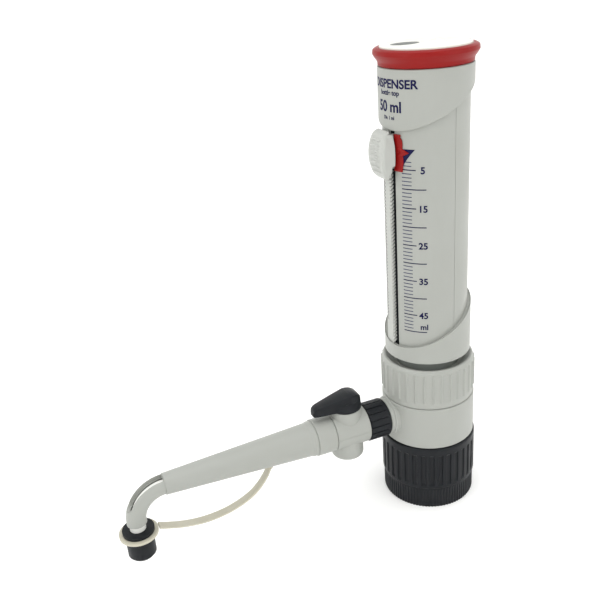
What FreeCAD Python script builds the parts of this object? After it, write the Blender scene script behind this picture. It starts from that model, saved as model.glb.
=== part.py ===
import FreeCAD, Part
import math
import os
import re
import Sketcher

# Bottle-top dispenser, 50 ml. Millimetres, +Z up, origin at the centre of the base's underside.
# The spout arm points along -Y. The housing is lifted off the ribbed clamp nut to fill the barrel.

Vector = FreeCAD.Vector
doc = FreeCAD.newDocument("dispenser")

dims = {
    # how far a cutting outline stands past the face that it cuts
    "spare": 0.25,
    # how far a cutting solid overruns what it cuts
    "over": 1.0,
    # base adapter and bottle ring
    "adapter_rad": 26.97, "adapter_top": 13.2, "adapter_neck_rad": 22.4, "adapter_neck_top": 24.0,
    "adapter_bore_rad": 19.0, "adapter_edge": 0.25, "adapter_teeth": 90, "tooth_deep": 0.45,
    "tooth_half": 0.75, "tooth_low": -0.5, "tooth_high": 12.4, "ring_rad": 27.57, "ring_low": 13.5,
    "ring_top": 41.4, "ring_thread_rad": 22.5, "ring_edge": 0.7, "ring_edge_round": 0.5,
    "web_low": 31.3, "web_top": 35.0, "web_bore_rad": 17.35, "flute_count": 34, "flute_wide": 2.9,
    "flute_deep": 0.7, "flute_slope": 0.3, "flute_low": 15.7, "flute_high": 36.8,
    # valve block
    "block_rad": 26.82, "block_edge": 0.5, "block_low": 41.7, "block_top": 67.7, "spigot_rad": 17.3,
    "spigot_low": 27.5, "nipple_room_rad": 9.0, "nipple_room_top": 40.0, "retainer_rad": 20.5,
    "retainer_top": 31.0, "seal_low": 25.5, "seal_bore_rad": 12.0, "collar_thread_rad": 23.4,
    "collar_thread_top": 84.0, "barrel_seat_rad": 15.0, "barrel_seat_low": 72.0, "well_rad": 11.0,
    "well_low": 70.0, "channel_rad": 2.0, "valve_room_rad": 5.05, "valve_room_top": 56.0,
    "boss_rad": 11.4, "boss_round": 0.6, "boss_reach": 27.6, "boss_step_rad": 10.7, "boss_end": 29.9,
    "boss_thread_rad": 8.9, "boss_thread_end": 38.0, "outlet_room_start": 20.0,
    # intake and outlet valves
    "seat_rad": 5.0, "seat_low": 36.0, "seat_top": 55.9, "nipple_rad": 3.0, "nipple_low": 24.5,
    "nipple_bore_rad": 1.5, "cone_wide_rad": 2.7, "cone_low": 48.0, "cone_top": 49.2, "ball_rad": 2.5,
    "intake_ball_height": 50.1, "outlet_ball_reach": 28.1, "outlet_cone_start": 26.0,
    "outlet_cone_end": 27.2, "outlet_seat_end": 37.9, "outlet_spring_start": 30.75,
    "outlet_spring_end": 33.9, "outlet_spring_rad": 1.9, "outlet_wire_rad": 0.2,
    # clamp nut
    "nut_rad": 26.3, "nut_low": 68.0, "nut_shoulder": 89.8, "nut_top": 92.2, "nut_rim_rad": 25.2,
    "nut_dish_rad": 24.3, "nut_dish_low": 88.3, "nut_lip_low": 86.3, "nut_hole_rad": 18.1,
    "nut_lip_wide": 1.0, "nut_thread_rad": 23.45, "nut_ribs": 33, "rib_crest_rad": 27.04,
    "rib_root": 0.4, "rib_base_half": 0.85, "rib_crest_half": 0.35, "rib_low": 71.9, "rib_high": 89.6,
    "nut_round": 1.6, "rim_round": 0.4,
    # barrel, guide and plunger
    "gasket_bore_rad": 11.5, "gasket_rad": 14.9, "barrel_low": 74.0, "barrel_top": 200.0,
    "barrel_bore_rad": 12.6, "barrel_rad": 14.6, "guide_bore_rad": 14.9, "guide_rad": 17.5,
    "guide_foot_rad": 22.6, "guide_foot_top": 86.0, "guide_stop_rad": 20.3, "guide_stop_low": 216.0,
    "guide_top": 219.0, "window_low": 100.5, "window_high": 206.0, "window_half": 9.0,
    "piston_low": 76.0, "piston_floor": 79.0, "piston_top": 92.0, "piston_rad": 12.55,
    "piston_cup_rad": 10.5, "core_rad": 10.45, "core_top": 94.0, "rod_low": 82.0, "rod_rad": 4.5,
    "rod_shoulder_rad": 7.0, "rod_shoulder_low": 247.0, "rod_top": 257.6, "rod_nut_flat": 7.5,
    "rod_nut_top": 257.0,
    # housing
    "hood_rad": 24.15, "hood_edge": 0.4, "shell_bore_rad": 22.2, "hood_roof_low": 250.5,
    "hood_top": 253.6, "hood_skirt_low": 222.0, "rod_hole_rad": 4.55, "hood_edge_low": 224.1,
    "hood_edge_rise": 12.3, "hood_edge_turn": 15.0, "cup_low": 97.0, "cup_floor_top": 99.0,
    "cup_hole_rad": 18.0, "cup_wall_high": 132.0, "cup_edge_low": 103.65, "cup_edge_rise": 12.5,
    "cup_edge_turn": 14.0, "edge_round": 0.5, "sleeve_rad": 22.15, "sleeve_bore_rad": 20.6,
    "sleeve_low": 99.1, "sleeve_top": 250.4, "seam_turn": 99.0, "seam_gap": 0.25, "slot_half": 5.4,
    "slot_low": 102.0, "slot_high": 234.0, "groove_rad": 23.0, "groove_top": 254.2, "flare_low": 256.4,
    "flare_high": 259.3, "flare_rad": 26.4, "collar_low_rad": 23.9, "collar_shoulder": 260.9,
    "collar_top": 262.4, "collar_rim_rad": 25.0, "collar_bore_rad": 21.0, "plate_low": 260.0,
    "plate_top": 263.2, "plate_rad": 22.95, "plate_seat_rad": 23.0, "flare_round": 4.0,
    "crown_round": 1.1, "plate_round": 0.3,
    # ratchet rail and cursor
    "rail_back": 20.7, "rail_step": 21.7, "rail_front": 23.6, "rail_half": 3.6, "rail_strip_half": 4.2,
    "rail_tooth": 0.6, "rail_pitch": 2.0, "rail_low": 105.4, "rail_teeth": 59, "rail_high": 223.6,
    "strip_low": 103.0, "strip_high": 233.0, "foot_half": 5.3, "foot_low_top": 104.4,
    "foot_high_low": 224.0, "frame_front": 24.6, "frame_inner": 23.95, "frame_finger": 20.3,
    "frame_half": 5.2, "frame_gap_half": 4.55, "frame_low": 204.9, "frame_high": 222.5, "post_rad": 1.5,
    "post_front": 27.4, "cursor_mid": 211.6, "pointer_bore_rad": 22.45, "pointer_rad": 23.0,
    "pointer_low": 203.5, "pointer_high": 222.5, "pointer_start": 13.3, "pointer_edge": 28.0,
    "arrow_root": 25.0, "arrow_tip": 36.7, "arrow_deep": 6.0, "arrow_half": 2.6, "arrow_mid": 213.5,
    "button_half": 8.0, "button_low": 199.2, "button_high": 224.0, "button_front": 31.0,
    "button_end": 27.5, "button_back": 19.2, "button_clear_rad": 24.16, "button_relief_rad": 25.6,
    "button_relief_high": 206.6, "button_room_half": 6.6, "button_room_low": 202.0,
    "button_room_high": 222.8, "button_room_front": 25.9, "button_well_rad": 3.2,
    "button_well_front": 29.2, "button_round": 1.4, "button_spring_rad": 2.0, "button_wire_rad": 0.25,
    "button_spring_back": 24.7, "button_spring_front": 28.6, "button_gate_half": 5.5,
    "button_gate_front": 24.9,
    # arm: reaches are measured from the dispenser's axis towards the spout
    "arm_height": 56.5, "union_start": 30.2, "union_end": 43.2, "union_rad": 11.2, "union_edge": 0.55,
    "union_bore_rad": 8.95, "union_lip": 41.4, "union_hole_rad": 7.25, "union_ribs": 18,
    "union_groove_deep": 0.7, "union_groove_half": 0.75, "union_groove_start": 31.2,
    "union_groove_end": 43.3, "neck_flange_start": 38.2, "neck_flange_end": 41.1,
    "neck_flange_rad": 8.7, "neck_rad": 7.2, "cock_start": 43.4, "cock_end": 64.2, "cock_rad": 10.8,
    "cock_edge": 0.3, "cock_spigot_rad": 8.0, "cock_spigot_end": 68.2, "cock_bore_rad": 2.7,
    "cock_reach": 54.4, "cock_boss_rad": 8.8, "cock_boss_top": 70.7, "drum_rad": 9.3, "drum_low": 39.5,
    "drum_round": 2.2, "liner_room_rad": 7.55, "liner_room_low": 44.5, "liner_room_high": 66.5,
    "split_gap": 0.1, "liner_rad": 7.5, "liner_low": 45.0, "liner_high": 66.0, "plug_room_rad": 4.55,
    "plug_rad": 4.5, "plug_low": 45.1, "plug_high": 73.6, "shaft_hole_rad": 4.6, "lever_hub_rad": 9.2,
    "lever_low": 71.0, "lever_hub_top": 74.2, "lever_back": 45.9, "lever_tip": 75.1, "lever_top": 79.8,
    "lever_tip_top": 75.9, "lever_tip_low": 71.0, "lever_root_half": 6.0, "lever_tip_half": 3.0,
    "lever_heel_low": 76.0, "lever_heel_reach": 48.3, "lever_heel_high": 79.0,
    "lever_crown_reach": 53.0, "lever_nose_reach": 73.6, "lever_nose_low": 73.4,
    "lever_chin_reach": 74.6, "lever_hub_side": 73.6, "lever_back_half": 3.0, "lever_wide_reach": 49.0,
    "lever_round": 1.4, "transfer_start": 34.0, "transfer_end": 46.8, "transfer_rad": 2.65,
    "transfer_bore_rad": 1.25, "collar_start": 64.4, "collar_web": 68.4, "collar_web_end": 70.4,
    "collar_end": 75.7, "collar_rad": 10.6, "collar_socket_rad": 8.05, "collar_mouth_rad": 8.5,
    "cover_plug_start": 71.8, "cover_plug_rad": 8.4, "cover_start": 75.9, "cover_lip_rad": 10.1,
    "cover_lip_end": 77.4, "cover_taper_start": 79.3, "cover_rad": 9.6, "cover_end": 162.4,
    "cover_tip_rad": 5.9, "cover_tip_bore_rad": 4.4, "cover_bore_rad": 8.0, "cover_plug_bore_rad": 6.9,
    "cover_bore_start": 77.3, "cover_bore_taper": 3.0, "bend_rad": 17.5, "elbow_rad": 5.4,
    "elbow_bore_rad": 3.3, "elbow_spigot_rad": 4.35, "elbow_spigot_start": 157.0, "elbow_low": 37.7,
    "elbow_slot_half": 3.4, "elbow_slot_from": 0.3, "elbow_slot_floor_rad": 19.6,
    "elbow_slot_low": 46.0, "tube_rad": 2.5, "tube_bore_rad": 1.75, "tube_start": 62.0,
    "tube_low": 26.2, "tip_rad": 4.3, "tip_taper": 0.5, "tip_bore_rad": 2.55, "tip_low": 25.4,
    "tip_neck_rad": 3.25, "tip_neck_top": 39.0, "cap_rad": 7.65, "cap_low": 16.6,
    "cap_chamfer_rad": 6.3, "cap_chamfer_top": 18.2, "cap_flange_rad": 8.65, "cap_flange_low": 32.1,
    "cap_top": 33.9, "cap_bore_rad": 4.35, "cap_bore_low": 24.9, "eye_rad": 10.6, "eye_bore_rad": 7.75,
    "eye_low": 30.5, "eye_top": 31.9, "strap_wide": 5.4, "strap_thick": 1.1, "anchor_reach": 103.2,
    "anchor_rad": 2.0, "anchor_low": 46.0, "anchor_head": 1.9, "anchor_stem_rad": 1.9,
    "anchor_top": 50.4, "anchor_hole_rad": 2.0,
}

sheet = doc.addObject("Spreadsheet::Sheet", "Dims")
for row, (alias, value) in enumerate(dims.items(), 1):
    sheet.set(f"A{row}", alias)
    sheet.set(f"B{row}", str(value))
    sheet.setAlias(f"B{row}", alias)
doc.recompute()

nodes = {}
near = 0.01


def cells(text):
    """Turns a formula in plain aliases into one that names their sheet."""
    return re.sub(r"[a-z]\w+", lambda word: f"Dims.{word[0]}" if word[0] in dims else word[0], text)


def keep(name, piece):
    """Names a finished sub-part, which gets a file of its own."""
    piece.Label = name
    nodes[name] = piece
    return piece


def along_arm(piece):
    """Turns a piece made along +Z to lie along the arm, towards the spout."""
    piece.Placement = FreeCAD.Placement(Vector(0, 0, 0), FreeCAD.Rotation(Vector(1, 0, 0), 90))
    piece.setExpression("Placement.Base.z", cells("arm_height"))
    return piece


def at_spout(piece):
    """Moves a piece made about the Z axis to the spout's vertical axis."""
    piece.setExpression("Placement.Base.y", cells("-(cover_end + bend_rad)"))
    return piece


def outline(body, plane, corners, lift=None):
    """A closed polygon on one of the body's origin planes, each corner bound to the sheet."""
    sketch = body.newObject("Sketcher::SketchObject", body.Name + "_outline")
    origin = [face for face in body.Origin.OriginFeatures if face.Role == plane]
    sketch.AttachmentSupport = [(origin[0], "")]
    sketch.MapMode = "FlatFace"
    if lift:
        sketch.setExpression("AttachmentOffset.Base.z", cells(lift))
    loops = corners if isinstance(corners[0][0], tuple) else [corners]
    for loop in loops:
        first = sketch.GeometryCount
        start = [Vector(10 * math.cos(i), 10 * math.sin(i), 0) for i in range(len(loop))]
        for i in range(len(loop)):
            sketch.addGeometry(Part.LineSegment(start[i], start[(i + 1) % len(loop)]))
        for i in range(len(loop)):
            after = first + (i + 1) % len(loop)
            sketch.addConstraint(Sketcher.Constraint("Coincident", first + i, 2, after, 1))
        for i, corner in enumerate(loop):
            for kind, text, axis in (("DistanceX", corner[0], -2), ("DistanceY", corner[1], -1)):
                if text == "0":
                    sketch.addConstraint(Sketcher.Constraint("PointOnObject", first + i, 1, axis))
                else:
                    number = sketch.addConstraint(Sketcher.Constraint(kind, -1, 1, first + i, 1, 1.0))
                    sketch.setExpression(f"Constraints[{number}]", cells(text))
    doc.recompute()
    return sketch


def rounded(body, picks):
    """Rounds edges of the body's last feature. picks holds (radius alias, test of an edge)."""
    for radius, test in picks:
        base = body.Tip
        edges = [f"Edge{i}" for i, edge in enumerate(base.Shape.Edges, 1) if test(edge)]
        fillet = body.newObject("PartDesign::Fillet", body.Name + "_round")
        fillet.Base = (base, edges)
        fillet.setExpression("Radius", cells(radius))
        body.Tip = fillet
        doc.recompute()


def ring_edge(spot):
    """A test for the circular edge that a profile's corner sweeps."""
    def test(edge):
        circle = edge.Curve
        if circle.TypeId != "Part::GeomCircle":
            return False
        return abs(circle.Radius - spot.x) < near and abs(circle.Center.z - spot.y) < near
    return test


def revolved(name, corners):
    """A turned piece: corners are (radius, height) and, where the edge is rounded, its radius."""
    body = doc.addObject("PartDesign::Body", name)
    sketch = outline(body, "XZ_Plane", corners)
    turn = body.newObject("PartDesign::Revolution", name + "_turn")
    turn.Profile = sketch
    turn.ReferenceAxis = (sketch, ["V_Axis"])
    turn.Angle = 360
    body.Tip = turn
    doc.recompute()
    spots = [sketch.Geometry[i].StartPoint for i in range(len(corners))]
    rounded(body, [(c[2], ring_edge(spots[i])) for i, c in enumerate(corners) if len(c) > 2])
    return body


def repeated(body, feature, count, name):
    """Repeats the body's last feature evenly about Z."""
    axis = [line for line in body.Origin.OriginFeatures if line.Role == "Z_Axis"][0]
    pattern = body.newObject("PartDesign::PolarPattern", name)
    pattern.Originals = [feature]
    pattern.Axis = (axis, [""])
    pattern.Angle = 360
    pattern.setExpression("Occurrences", cells(count))
    body.Tip = pattern
    doc.recompute()


def cut_flutes(body, corners, top, length, count):
    """Cuts a groove down from a height, and repeats it about the axis."""
    before = body.Shape.Volume
    pocket = body.newObject("PartDesign::Pocket", body.Name + "_flute")
    pocket.Profile = outline(body, "XY_Plane", corners, top)
    pocket.setExpression("Length", cells(length))
    body.Tip = pocket
    doc.recompute()
    assert body.Shape.Volume < before - near, body.Label
    repeated(body, pocket, count, body.Name + "_flutes")


def padded(name, plane, corners, length, lift=None, symmetric=False):
    """A flat outline pushed out to a thickness."""
    body = doc.addObject("PartDesign::Body", name)
    pad = body.newObject("PartDesign::Pad", name + "_pad")
    pad.Profile = outline(body, plane, corners, lift)
    pad.setExpression("Length", cells(length))
    pad.SideType = "Symmetric" if symmetric else "One side"
    body.Tip = pad
    doc.recompute()
    return body


def cylinder(name, radius, low, high, reach="0"):
    """An upright cylinder, on the main axis or at a reach along the arm."""
    piece = doc.addObject("Part::Cylinder", name)
    piece.setExpression("Radius", cells(radius))
    piece.setExpression("Height", cells(f"{high} - ({low})"))
    piece.setExpression("Placement.Base.z", cells(low))
    piece.setExpression("Placement.Base.y", cells(f"-({reach})"))
    return piece


def arm_cylinder(name, radius, start, end):
    """A cylinder about the arm's axis, between two reaches."""
    piece = doc.addObject("Part::Cylinder", name)
    piece.Placement = FreeCAD.Placement(Vector(0, 0, 0), FreeCAD.Rotation(Vector(1, 0, 0), 90))
    piece.setExpression("Radius", cells(radius))
    piece.setExpression("Height", cells(f"{end} - ({start})"))
    piece.setExpression("Placement.Base.y", cells(f"-({start})"))
    piece.setExpression("Placement.Base.z", cells("arm_height"))
    return piece


def box(name, half, near, far, low, high):
    """A block as wide as twice half, between two reaches and two heights."""
    piece = doc.addObject("Part::Box", name)
    piece.setExpression("Length", cells(f"2 * ({half})"))
    piece.setExpression("Width", cells(f"{far} - ({near})"))
    piece.setExpression("Height", cells(f"{high} - ({low})"))
    piece.setExpression("Placement.Base.x", cells(f"-({half})"))
    piece.setExpression("Placement.Base.y", cells(f"-({far})"))
    piece.setExpression("Placement.Base.z", cells(low))
    return piece


def fused(name, *pieces):
    piece = doc.addObject("Part::MultiFuse", name)
    piece.Shapes = list(pieces)
    piece.Refine = True
    return piece


def common(name, first, second):
    piece = doc.addObject("Part::Common", name)
    piece.Base = first
    piece.Tool = second
    return piece


def cut(name, base, *tools):
    """Takes the tools away from the base, one after another."""
    for number, tool in enumerate(tools):
        piece = doc.addObject("Part::Cut", f"{name}_{number}")
        piece.Base = base
        piece.Tool = tool
        base = piece
    doc.recompute()
    return base


def edges_rounded(name, base, radius, test):
    """Rounds the chosen edges of a boolean's result."""
    doc.recompute()
    piece = doc.addObject("Part::Fillet", name)
    piece.Base = base
    size = dims[radius]
    piece.Edges = [(i, size, size) for i, edge in enumerate(base.Shape.Edges, 1) if test(edge)]
    doc.recompute()
    return piece


def make_base():
    adapter = revolved("thread_adapter", [
        ("adapter_bore_rad", "0"), ("adapter_rad - adapter_edge", "0"), ("adapter_rad", "adapter_edge"),
        ("adapter_rad", "adapter_top"), ("adapter_neck_rad", "adapter_top"),
        ("adapter_neck_rad", "adapter_neck_top"), ("adapter_bore_rad", "adapter_neck_top")])
    notch = [("adapter_rad - tooth_deep", "0"), ("adapter_rad + spare", "tooth_half"),
             ("adapter_rad + spare", "-tooth_half")]
    cut_flutes(adapter, notch, "tooth_high", "tooth_high - tooth_low", "adapter_teeth")
    keep("thread_adapter", adapter)

    ring = revolved("bottle_ring", [
        ("ring_thread_rad", "ring_low"), ("ring_rad - ring_edge", "ring_low"),
        ("ring_rad", "ring_low + ring_edge"),
        ("ring_rad", "ring_top", "ring_edge_round"), ("ring_thread_rad", "ring_top"),
        ("ring_thread_rad", "web_top"), ("web_bore_rad", "web_top"), ("web_bore_rad", "web_low"),
        ("ring_thread_rad", "web_low")])
    flute = [("ring_rad - flute_deep", "flute_wide / 2 - flute_slope"),
             ("ring_rad + spare", "flute_wide / 2"),
             ("ring_rad + spare", "-flute_wide / 2"),
             ("ring_rad - flute_deep", "flute_slope - flute_wide / 2")]
    cut_flutes(ring, flute, "flute_high", "flute_high - flute_low", "flute_count")
    keep("bottle_ring", ring)

    keep("ring_retainer", revolved("ring_retainer", [
        ("spigot_rad", "spigot_low"), ("retainer_rad", "spigot_low"), ("retainer_rad", "retainer_top"),
        ("spigot_rad", "retainer_top")]))
    keep("bottle_seal", revolved("bottle_seal", [
        ("seal_bore_rad", "seal_low"), ("retainer_rad", "seal_low"), ("retainer_rad", "spigot_low"),
        ("seal_bore_rad", "spigot_low")]))


def make_block():
    drum = revolved("block_drum", [
        ("nipple_room_rad", "spigot_low"), ("spigot_rad", "spigot_low"), ("spigot_rad", "block_low"),
        ("block_rad - block_edge", "block_low"), ("block_rad", "block_low + block_edge"),
        ("block_rad", "block_top - block_edge"), ("block_rad - block_edge", "block_top"),
        ("collar_thread_rad", "block_top"),
        ("collar_thread_rad", "collar_thread_top"), ("barrel_seat_rad", "collar_thread_top"),
        ("barrel_seat_rad", "barrel_seat_low"), ("well_rad", "barrel_seat_low"),
        ("well_rad", "well_low"),
        ("channel_rad", "well_low"), ("channel_rad", "valve_room_top"),
        ("valve_room_rad", "valve_room_top"), ("valve_room_rad", "nipple_room_top"),
        ("nipple_room_rad", "nipple_room_top")])
    boss = along_arm(revolved("block_boss", [
        ("valve_room_rad", "outlet_room_start"), ("boss_rad", "outlet_room_start"),
        ("boss_rad", "boss_reach", "boss_round"), ("boss_step_rad", "boss_reach"),
        ("boss_step_rad", "boss_end", "boss_round"), ("boss_thread_rad", "boss_end"),
        ("boss_thread_rad", "boss_thread_end"), ("valve_room_rad", "boss_thread_end")]))
    room = arm_cylinder("outlet_room", "valve_room_rad", "outlet_room_start", "boss_reach")
    channel = arm_cylinder("outlet_channel", "channel_rad", "0", "outlet_room_start")
    keep("valve_block", cut("valve_block", fused("block_blank", drum, boss), room, channel))


def make_valves():
    keep("intake_valve_seat", revolved("intake_valve_seat", [
        ("nipple_bore_rad", "nipple_low"), ("nipple_rad", "nipple_low"), ("nipple_rad", "seat_low"),
        ("seat_rad", "seat_low"), ("seat_rad", "seat_top"), ("cone_wide_rad", "seat_top"),
        ("cone_wide_rad", "cone_top"), ("nipple_bore_rad", "cone_low")]))
    keep("outlet_valve_seat", along_arm(revolved("outlet_valve_seat", [
        ("nipple_bore_rad", "outlet_room_start"), ("seat_rad", "outlet_room_start"),
        ("seat_rad", "outlet_seat_end"), ("cone_wide_rad", "outlet_seat_end"),
        ("cone_wide_rad", "outlet_cone_end"), ("nipple_bore_rad", "outlet_cone_start")])))
    for name, height, reach in (("intake_ball", "intake_ball_height", "0"),
                                ("outlet_ball", "arm_height", "outlet_ball_reach")):
        ball = doc.addObject("Part::Sphere", name)
        ball.setExpression("Radius", cells("ball_rad"))
        ball.setExpression("Placement.Base.y", cells(f"-{reach}"))
        ball.setExpression("Placement.Base.z", cells(height))
        keep(name, ball)
    spring = coil("outlet_spring", "outlet_spring_rad", "outlet_wire_rad",
                  "outlet_spring_start", "outlet_spring_end", 3)
    keep("outlet_spring", along_arm(spring))
    keep("transfer_tube", along_arm(revolved("transfer_tube", [
        ("transfer_bore_rad", "transfer_start"), ("transfer_rad", "transfer_start"),
        ("transfer_rad", "transfer_end"), ("transfer_bore_rad", "transfer_end")])))


def coil(name, radius, wire, low, high, turns):
    """A round-wire compression spring about Z, between two heights."""
    helix = doc.addObject("Part::Helix", name + "_line")
    helix.setExpression("Radius", cells(radius))
    helix.setExpression("Height", cells(f"{high} - {low} - 2 * {wire}"))
    helix.setExpression("Pitch", cells(f"({high} - {low} - 2 * {wire}) / {turns}"))
    helix.setExpression("Placement.Base.z", cells(f"{low} + {wire}"))
    circle = doc.addObject("Part::Circle", name + "_wire")
    circle.Placement.Rotation = FreeCAD.Rotation(Vector(1, 0, 0), 90)
    circle.setExpression("Radius", cells(wire))
    circle.setExpression("Placement.Base.x", cells(radius))
    circle.setExpression("Placement.Base.z", cells(f"{low} + {wire}"))
    sweep = doc.addObject("Part::Sweep", name)
    sweep.Sections = [circle]
    sweep.Spine = (helix, ["Edge1"])
    sweep.Solid = True
    sweep.Frenet = True
    doc.recompute()
    return sweep


def make_barrel():
    keep("barrel_gasket", revolved("barrel_gasket", [
        ("gasket_bore_rad", "barrel_seat_low"), ("gasket_rad", "barrel_seat_low"),
        ("gasket_rad", "barrel_low"), ("gasket_bore_rad", "barrel_low")]))
    keep("glass_barrel", revolved("glass_barrel", [
        ("barrel_bore_rad", "barrel_low"), ("barrel_rad", "barrel_low"), ("barrel_rad", "barrel_top"),
        ("barrel_bore_rad", "barrel_top")]))
    tube = revolved("guide_tube", [
        ("guide_bore_rad", "collar_thread_top"), ("guide_foot_rad", "collar_thread_top"),
        ("guide_foot_rad", "guide_foot_top"), ("guide_rad", "guide_foot_top"),
        ("guide_rad", "guide_stop_low"),
        ("guide_stop_rad", "guide_stop_low"), ("guide_stop_rad", "guide_top"),
        ("guide_bore_rad", "guide_top")])
    windows = doc.addObject("Part::Box", "guide_windows")
    windows.setExpression("Length", cells("4 * guide_rad"))
    windows.setExpression("Width", cells("2 * window_half"))
    windows.setExpression("Height", cells("window_high - window_low"))
    windows.setExpression("Placement.Base.x", cells("-2 * guide_rad"))
    windows.setExpression("Placement.Base.y", cells("-window_half"))
    windows.setExpression("Placement.Base.z", cells("window_low"))
    keep("barrel_guide", cut("barrel_guide", tube, windows))


def make_clamp_nut():
    nut = revolved("clamp_nut", [
        ("nut_thread_rad", "nut_low"), ("nut_rad", "nut_low"), ("nut_rad", "nut_shoulder", "nut_round"),
        ("nut_rim_rad", "nut_top", "rim_round"), ("nut_dish_rad", "nut_top"),
        ("nut_hole_rad + nut_lip_wide", "nut_dish_low"), ("nut_hole_rad", "nut_dish_low"),
        ("nut_hole_rad", "nut_lip_low"), ("nut_thread_rad", "nut_lip_low")])
    rib = nut.newObject("PartDesign::Pad", "nut_rib")
    rib.Profile = outline(nut, "XY_Plane", [
        ("nut_rad - rib_root", "rib_base_half"), ("rib_crest_rad", "rib_crest_half"),
        ("rib_crest_rad", "-rib_crest_half"), ("nut_rad - rib_root", "-rib_base_half")], "rib_low")
    rib.setExpression("Length", cells("rib_high - rib_low"))
    nut.Tip = rib
    doc.recompute()
    repeated(nut, rib, "nut_ribs", "nut_rib_ring")
    keep("clamp_nut", nut)


def make_plunger():
    keep("piston_seal", revolved("piston_seal", [
        ("0", "piston_low"), ("piston_rad", "piston_low"), ("piston_rad", "piston_top"),
        ("piston_cup_rad", "piston_top"), ("piston_cup_rad", "piston_floor"), ("0", "piston_floor")]))
    keep("piston_core", revolved("piston_core", [
        ("0", "piston_floor"), ("core_rad", "piston_floor"), ("core_rad", "core_top"),
        ("rod_rad", "core_top"),
        ("rod_rad", "rod_low"), ("0", "rod_low")]))
    keep("plunger_rod", revolved("plunger_rod", [
        ("0", "rod_low"), ("rod_rad", "rod_low"), ("rod_rad", "rod_shoulder_low"),
        ("rod_shoulder_rad", "rod_shoulder_low"), ("rod_shoulder_rad", "hood_roof_low"),
        ("rod_rad", "hood_roof_low"), ("rod_rad", "rod_top"), ("0", "rod_top")]))
    hexagon = doc.addObject("Part::Prism", "nut_hexagon")
    hexagon.Polygon = 6
    hexagon.setExpression("Circumradius", cells("rod_nut_flat"))
    hexagon.setExpression("Height", cells("rod_nut_top - hood_top"))
    hexagon.setExpression("Placement.Base.z", cells("hood_top"))
    hole = cylinder("nut_thread", "rod_rad", "hood_top - over", "rod_nut_top + over")
    keep("plunger_nut", cut("plunger_nut", hexagon, hole))


def slant(name, low, rise, turn, below):
    """A block bounded by a slanted plane, lowest at a turn from the arm towards +X."""
    slope = dims[rise] / dims["hood_rad"]
    angle = math.radians(dims[turn] - 90)
    normal = Vector(slope * math.cos(angle), slope * math.sin(angle), 1)
    tilt = FreeCAD.Placement(Vector(0, 0, dims[low] + dims[rise]), FreeCAD.Rotation(Vector(0, 0, 1), normal))
    block = doc.addObject("Part::Box", name)
    block.setExpression("Length", cells("4 * hood_rad"))
    block.setExpression("Width", cells("4 * hood_rad"))
    block.setExpression("Height", cells("2 * hood_rad"))
    half = 2 * dims["hood_rad"]
    block.Placement = tilt.multiply(FreeCAD.Placement(Vector(-half, -half, -half if below else 0),
                                                      FreeCAD.Rotation()))
    return block


def slanted_edge(edge):
    return edge.Curve.TypeId == "Part::GeomEllipse" and edge.Curve.MinorRadius > dims["hood_rad"] - near


def make_housing():
    hood = revolved("hood_blank", [
        ("shell_bore_rad", "hood_skirt_low"), ("hood_rad", "hood_skirt_low"),
        ("hood_rad", "hood_top - hood_edge"),
        ("hood_rad - hood_edge", "hood_top"), ("rod_hole_rad", "hood_top"),
        ("rod_hole_rad", "hood_roof_low"),
        ("shell_bore_rad", "hood_roof_low")])
    hood_slant = slant("hood_slant", "hood_edge_low", "hood_edge_rise", "hood_edge_turn", True)
    hood_cut = cut("hood_cut", hood, hood_slant)
    keep("upper_hood", edges_rounded("upper_hood", hood_cut, "edge_round", slanted_edge))

    cup = revolved("cup_blank", [
        ("cup_hole_rad", "cup_low"), ("hood_rad", "cup_low", "edge_round"),
        ("hood_rad", "cup_wall_high"),
        ("shell_bore_rad", "cup_wall_high"), ("shell_bore_rad", "cup_floor_top"),
        ("cup_hole_rad", "cup_floor_top")])
    cup_slant = slant("cup_slant", "cup_edge_low", "cup_edge_rise", "cup_edge_turn", False)
    cup_cut = cut("cup_cut", cup, cup_slant)
    keep("lower_cup", edges_rounded("lower_cup", cup_cut, "edge_round", slanted_edge))

    halves = {}
    for name, turn in (("sleeve_front", -180), ("sleeve_rear", 0)):
        half = doc.addObject("PartDesign::Body", name + "_shell")
        spin = half.newObject("PartDesign::Revolution", name + "_turn")
        sketch = outline(half, "XZ_Plane", [
            ("sleeve_bore_rad", "sleeve_low"), ("sleeve_rad", "sleeve_low"),
            ("sleeve_rad", "sleeve_top"),
            ("sleeve_bore_rad", "sleeve_top")])
        spin.Profile = sketch
        spin.ReferenceAxis = (sketch, ["V_Axis"])
        spin.setExpression("Angle", cells("180 - 2 * seam_gap"))
        half.Tip = spin
        half.setExpression("Placement.Rotation.Angle", cells(f"seam_turn - 90 + seam_gap + {turn}"))
        halves[name] = half
    slot = box("cursor_slot", "slot_half", "sleeve_bore_rad - over", "sleeve_rad + over",
               "slot_low", "slot_high")
    keep("sleeve_front", cut("sleeve_front", halves["sleeve_front"], slot))
    keep("sleeve_rear", halves["sleeve_rear"])

    keep("colour_collar", revolved("colour_collar", [
        ("collar_bore_rad", "hood_top"), ("groove_rad", "hood_top"), ("groove_rad", "groove_top"),
        ("collar_low_rad", "groove_top"), ("collar_low_rad", "flare_low", "flare_round"),
        ("flare_rad", "flare_high", "crown_round"), ("flare_rad", "collar_shoulder", "crown_round"),
        ("collar_rim_rad", "collar_top", "crown_round"), ("plate_seat_rad", "collar_top"),
        ("plate_seat_rad", "plate_low"), ("collar_bore_rad", "plate_low")]))
    keep("top_plate", revolved("top_plate", [
        ("0", "plate_low"), ("plate_rad", "plate_low"), ("plate_rad", "plate_top", "plate_round"),
        ("0", "plate_top")]))


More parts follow.
